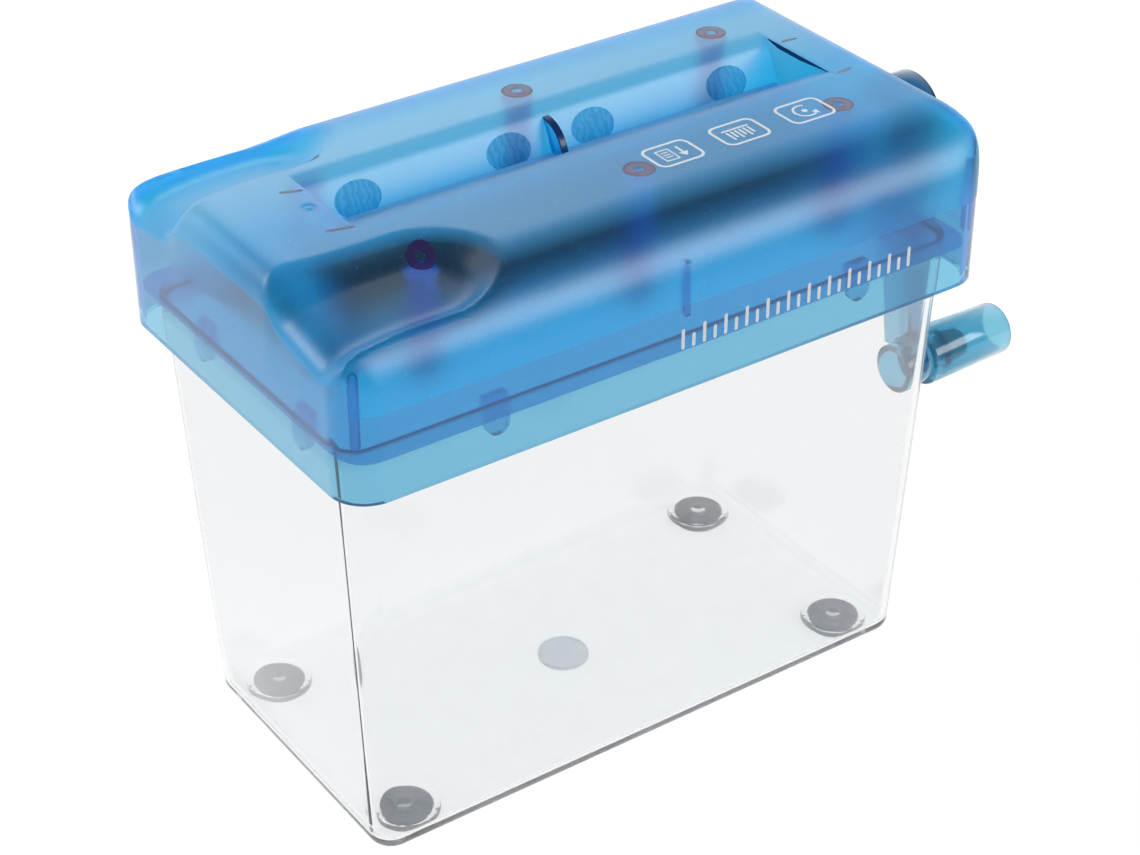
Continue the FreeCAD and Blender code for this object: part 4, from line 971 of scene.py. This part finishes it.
# Funnel bead
# A rounded bead moulded along the foot of the funnel's back wall guides the sheet's edge into the slot.
# Pale blue polystyrene on a thin rounded section, paler and milkier than the wall: a painted highlight along
# the bead. It scatters half of the light.
bead_highlight_skin = clear_wall("painted_highlight_blue_skin", "#8CD0F0", 0.3, 1.5, BLUE_LIGHT, 0.5)
bead_profile = [(0.4, -60.3), (0.9, -60.1), (1.15, -59.6), (1.2, -59.0),
                (1.2, 69.9), (1.15, 70.5), (0.9, 71.0), (0.4, 71.2)]
bead = piece("funnel_bead", solid(
    "funnel_bead", turned(bead_profile, (9.75, 138.3), 24, "X"), 60), "head", bead_highlight_skin)

# Ejector marks
# Four oval prints of the mould's ejector pins on the funnel's back wall, each with a wavy machined grain.
# They lie flush on the slope.
OVAL_MIDDLE = (11.28, 141.97)
OVAL_HALF = (6.0, 4.3)


def machined_waves(tree):
    """Wavy lines about 2 mm apart, coarser than the cutter's real marks, so that they show."""
    place = add_node(tree, "ShaderNodeTexCoord")
    lines = add_node(tree, "ShaderNodeTexWave", {
        "Vector": place.outputs["Object"], "Scale": 170.0, "Distortion": 9.0, "Detail": 2.0,
        "Detail Scale": 2.0}, bands_direction="X")
    tone = add_node(tree, "ShaderNodeMix", {
        0: lines.outputs["Fac"], 6: hex_colour("#B0D4E4"), 7: hex_colour("#CCE4EE")}, data_type="RGBA")
    return {"Base Color": tone.outputs[2]}


# Blue polystyrene with machining marks: clear like the wall behind it, with darker waves.
wavy_skin = clear_wall("wavy_blue_polystyrene", "#C4E2EE", 0.2, 1.05, "#C4E2EE", pattern=machined_waves)
wall_y, wall_z = math.cos(math.radians(BACK_SLOPE)), math.sin(math.radians(BACK_SLOPE))
oval_parts = []
for middle in (-46.7, -6.4, 17.2, 56.7):
    rings = []
    for lift in (0.01, 0.04):
        ring = []
        for across, up in arc((0, 0), 1.0, 0, 351, 39):
            along = 0.4 + OVAL_HALF[1] * up
            ring.append((middle + OVAL_HALF[0] * across, OVAL_MIDDLE[0] + along * wall_y - lift * wall_z,
                         OVAL_MIDDLE[1] + along * wall_z + lift * wall_y))
        rings.append(ring)
    oval_parts.append(bridge_loops(rings))
ovals = piece("ejector_marks", solid("ejector_marks", join_parts(oval_parts), 30), "head", wavy_skin)

# Stiffening ribs
# Thin upright ribs inside the front wall, one in the middle and one in each front corner.
# They are moulded with the cover.
rib_outline = [(-48.9, 125.6), (-47.9, 125.6), (-47.4, 126.1), (-47.0, 138.2), (-47.3, 139.0), (-48.9, 139.2)]
middle_rib = piece("middle_rib", upright_plate("middle_rib", rib_outline, 0.0, 1.2), "head", blue_clear)
corner_profile = [(0.3, 120.5), (0.8, 120.7), (1.1, 121.3), (1.1, 137.8), (0.8, 138.5), (0.3, 138.8)]
corner_ribs = piece("corner_ribs", repeat_on_grid(
    "corner_ribs_grid", solid("corner_rib", turned(corner_profile, segments=24), 50), blue_clear, 2, 1,
    (166.4, 0), (0, -46.6, 0)), "head")

# Printed marks
# White pad-printed signs on the roof: sheet in, strips out, turn the handle. A row of bars marks the front.
# The ink is a thin film on the plastic.
PRINT = 0.03
SIGN_ROW = -22.4
BAR_COUNT = 23
BAR_PITCH = 2.95
BAR_START = (-2.6, 118.9)


def shifted(outline, u, v):
    return [(a + u, b + v) for a, b in outline]


def printed(outline, u, v):
    """A film of ink with one outline, moved to (u, v)."""
    return prism(shifted(outline, u, v), 0.0, PRINT, 2)


def printed_band(outer, inner, u, v):
    """A film of ink between two outlines of equally many points."""
    levels = ((outer, 0.0), (outer, PRINT), (inner, PRINT), (inner, 0.0))
    rings = [[(a, b, lift) for a, b in shifted(outline, u, v)] for outline, lift in levels]
    points, faces = bridge_loops(rings, False)
    count = len(outer)
    for k in range(count):
        n = (k + 1) % count
        faces.append((3 * count + k, 3 * count + n, n, k))
    return points, faces


def plain_bar(u, v, width, height):
    return printed(rounded_loop(width / 2, height / 2, min(width, height) * 0.45, 3), u, v)


def sheet_sign(u, v):
    """A sheet of paper going down."""
    arrow = [(-0.3, 2.4), (-0.3, -0.6), (-1.3, -0.6), (0.0, -2.5), (1.3, -0.6), (0.3, -0.6), (0.3, 2.4)]
    lines = [plain_bar(u - 1.6, v + 1.2 - k * 1.1, 2.0, 0.4) for k in range(3)]
    sheet = printed_band(rounded_loop(1.9, 2.7, 0.3, 2), rounded_loop(1.5, 2.3, 0.2, 2), u - 1.6, v)
    return [sheet, *lines, printed(arrow[::-1], u + 2.4, v)]


def strips_sign(u, v):
    """Strips of paper under a cutter."""
    parts = [plain_bar(u, v + 1.9, 7.6, 0.6)]
    for k in range(6):
        length = 3.2 if k % 2 else 4.0
        parts.append(plain_bar(u - 3.0 + k * 1.2, v + 1.2 - length / 2, 0.55, length))
    return parts


def turn_sign(u, v):
    """A handle and the way that it turns."""
    first, last = 60, 310
    way = arc((0, 0), 3.0, first, last, 24) + arc((0, 0), 2.45, last, first, 24)
    tip = math.radians(last)
    head = [(radius * math.cos(angle), radius * math.sin(angle))
            for radius, angle in ((3.9, tip), (2.72, tip + 0.55), (1.6, tip))]
    return [printed(way, u, v), printed(head, u, v), printed(arc((0, 0), 0.75, 0, 337.5, 15), u, v)]


# Pad-printing ink: a flat white film, slightly uneven where the pad pressed less.
white_ink = moulded("white_printing_ink", "#D5E2EA", "#F4F7F9", 0.55, scale=1200.0, grain=0.0)
sign_parts = []
for place, drawn in ((15.2, sheet_sign), (34.0, strips_sign), (53.0, turn_sign)):
    sign_parts.append(printed_band(
        rounded_loop(6.4, 5.0, 2.4, 6), rounded_loop(5.7, 4.3, 1.7, 6), place, SIGN_ROW))
    sign_parts.extend(drawn(place, SIGN_ROW))
sign_points, sign_faces = join_parts(sign_parts)
sign_points = [(u, v, COVER_TOP + lift) for u, v, lift in sign_points]
signs = piece("roof_signs", solid("roof_signs", (sign_points, sign_faces), 30), "head", white_ink)

bar_parts = []
for k in range(BAR_COUNT):
    height = 3.4 if k % 2 else 5.2
    bar_parts.append(plain_bar(BAR_START[0] + k * BAR_PITCH, BAR_START[1] + height / 2, 0.9, height))
bar_points, bar_faces = join_parts(bar_parts)
bar_points = [(u, -COVER_HALF[1] - lift, v) for u, v, lift in bar_points]
bars = piece("front_bars", solid("front_bars", (bar_points, bar_faces), 30), "head", white_ink)

# Crank arm
# One moulding in the cover's blue: a dished hub on the shaft, a channel-section arm with its back to the
# outside, and a hollow boss that ends in a split snap stub for the grip. A screw holds it on the shaft.
CRANK_AXIS = (-12.0115, 133.6982)
CRANK_LEAN = math.radians(-6.7)
CRANK_REACH = 67.6


def crank_solid(name, shape):
    """A solid made about the crank's axis, turned to the lean that it rests at."""
    points, faces = shape
    c, n = math.cos(CRANK_LEAN), math.sin(CRANK_LEAN)
    return solid(name, ([(x, CRANK_AXIS[0] + y * c - z * n, CRANK_AXIS[1] + y * n + z * c)
                         for x, y, z in points], faces))


def arm_outline(inset, top_radius, bottom):
    """The arm's tapering outline, its top an arc about the hub."""
    outline = []
    half = 6.5 - inset
    for step in range(13):
        y = -half + 2 * half * step / 12
        outline.append((y, -math.sqrt(top_radius ** 2 - y * y)))
    half = 5.2 - inset
    return outline + [(half, bottom), (-half, bottom)]


hub_profile = [(3.1, 88.2), (9.8, 88.2), (10.08, 88.32), (10.2, 88.6), (10.2, 96.2), (10.08, 96.48),
               (9.8, 96.6), (8.7, 96.6), (8.48, 96.52), (8.4, 96.3), (8.4, 92.4), (8.2, 92.2), (4.8, 92.2),
               (4.6, 92.4), (4.6, 96.4), (4.4, 96.6), (1.6, 96.6), (1.6, 92.8), (3.1, 92.8)]
knob_profile = [(4.4, 94.8), (4.62, 94.7), (4.7, 94.5), (4.7, 89.7), (4.8, 89.48), (5.0, 89.4), (6.1, 89.4),
                (6.32, 89.48), (6.4, 89.7), (6.4, 97.1), (6.32, 97.32), (6.1, 97.4), (3.7, 97.4),
                (3.5, 97.6), (3.5, 103.5), (3.6, 103.6), (4.2, 103.6), (4.4, 103.8), (4.4, 105.2),
                (3.7, 110.7), (3.4, 111.0)]
split_outline = [(-0.8, -CRANK_REACH - 6.0), (0.8, -CRANK_REACH - 6.0), (0.8, -CRANK_REACH + 6.0),
                 (-0.8, -CRANK_REACH + 6.0)]
arm_mesh = crank_solid("crank_arm_bar", prism(arm_outline(0.0, 9.3, -CRANK_REACH + 5.4), 91.2, 96.6, 0))
channel_mesh = crank_solid("crank_channel", prism(arm_outline(1.6, 11.0, -CRANK_REACH + 7.2), 90.0, 95.0, 0))
hub_mesh = crank_solid("crank_hub", turned(hub_profile, (0, 0), 72, "X", hollow=True))
knob_mesh = crank_solid("crank_knob", turned(knob_profile, (0, -CRANK_REACH), 64, "X"))
split_mesh = crank_solid("crank_split", prism(split_outline, 100.2, 112.0, 0))
crank_blank = combined("crank_blank", arm_mesh, [
    ("DIFFERENCE", channel_mesh), ("UNION", hub_mesh), ("UNION", knob_mesh), ("DIFFERENCE", split_mesh)], 32)


def thick_ends(tree):
    """Deeper blue towards the hub and the stub."""
    place = add_node(tree, "ShaderNodeTexCoord")
    split = add_node(tree, "ShaderNodeSeparateXYZ", {0: place.outputs["Object"]})
    hub = add_node(tree, "ShaderNodeMapRange", {0: split.outputs[2], 1: 0.118, 2: 0.126})
    stub = add_node(tree, "ShaderNodeMapRange", {0: split.outputs[0], 1: 0.0955, 2: 0.0975})
    thick = add_node(tree, "ShaderNodeMath", {0: hub.outputs[0], 1: stub.outputs[0]}, operation="MAXIMUM")
    tone = add_node(tree, "ShaderNodeMix", {
        0: thick.outputs[0], 6: hex_colour("#74B8D8"), 7: hex_colour("#1C5F8E")}, data_type="RGBA")
    return {"Base Color": tone.outputs[2]}


# Tinted polystyrene of the crank: clear and glossy, deep blue where the hub and the stub are thick.
crank_blue = clear_wall(
    "teal_blue_polystyrene", "#74B8D8", 0.2, 1.15, BLUE_LIGHT, coat=(0.08, 1.5), pattern=thick_ends)
crank_arm = piece("crank_arm_moulding", crank_blank, "crank", crank_blue)
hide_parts("crank_arm")

# Crank grip
# A paler blue sleeve, open at its outer end, that snaps over the stub and spins on it.
# Pale blue polystyrene: clear and glossy with a little milk in it, so that the stub shows softly inside.
GRIP_AXIS = (-19.8985, 66.5599)
pale_blue = clear_wall("pale_blue_polystyrene", "#86CBE2", 0.25, 1.15, "#BDEAF3", 0.85, (0.1, 1.5))
grip_profile = [(3.8, 97.7), (7.0, 97.7), (7.35, 97.85), (7.5, 98.2), (6.85, 123.2), (6.7, 123.55),
                (6.4, 123.7), (5.75, 123.7), (5.5, 123.6), (5.38, 123.3), (5.92, 103.8), (5.8, 103.42),
                (5.5, 103.3), (3.8, 103.3)]
grip = piece("crank_grip_sleeve", solid(
    "crank_grip_sleeve", turned(grip_profile, GRIP_AXIS, 64, "X", hollow=True), 40), "grip", pale_blue)
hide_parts("crank_grip")
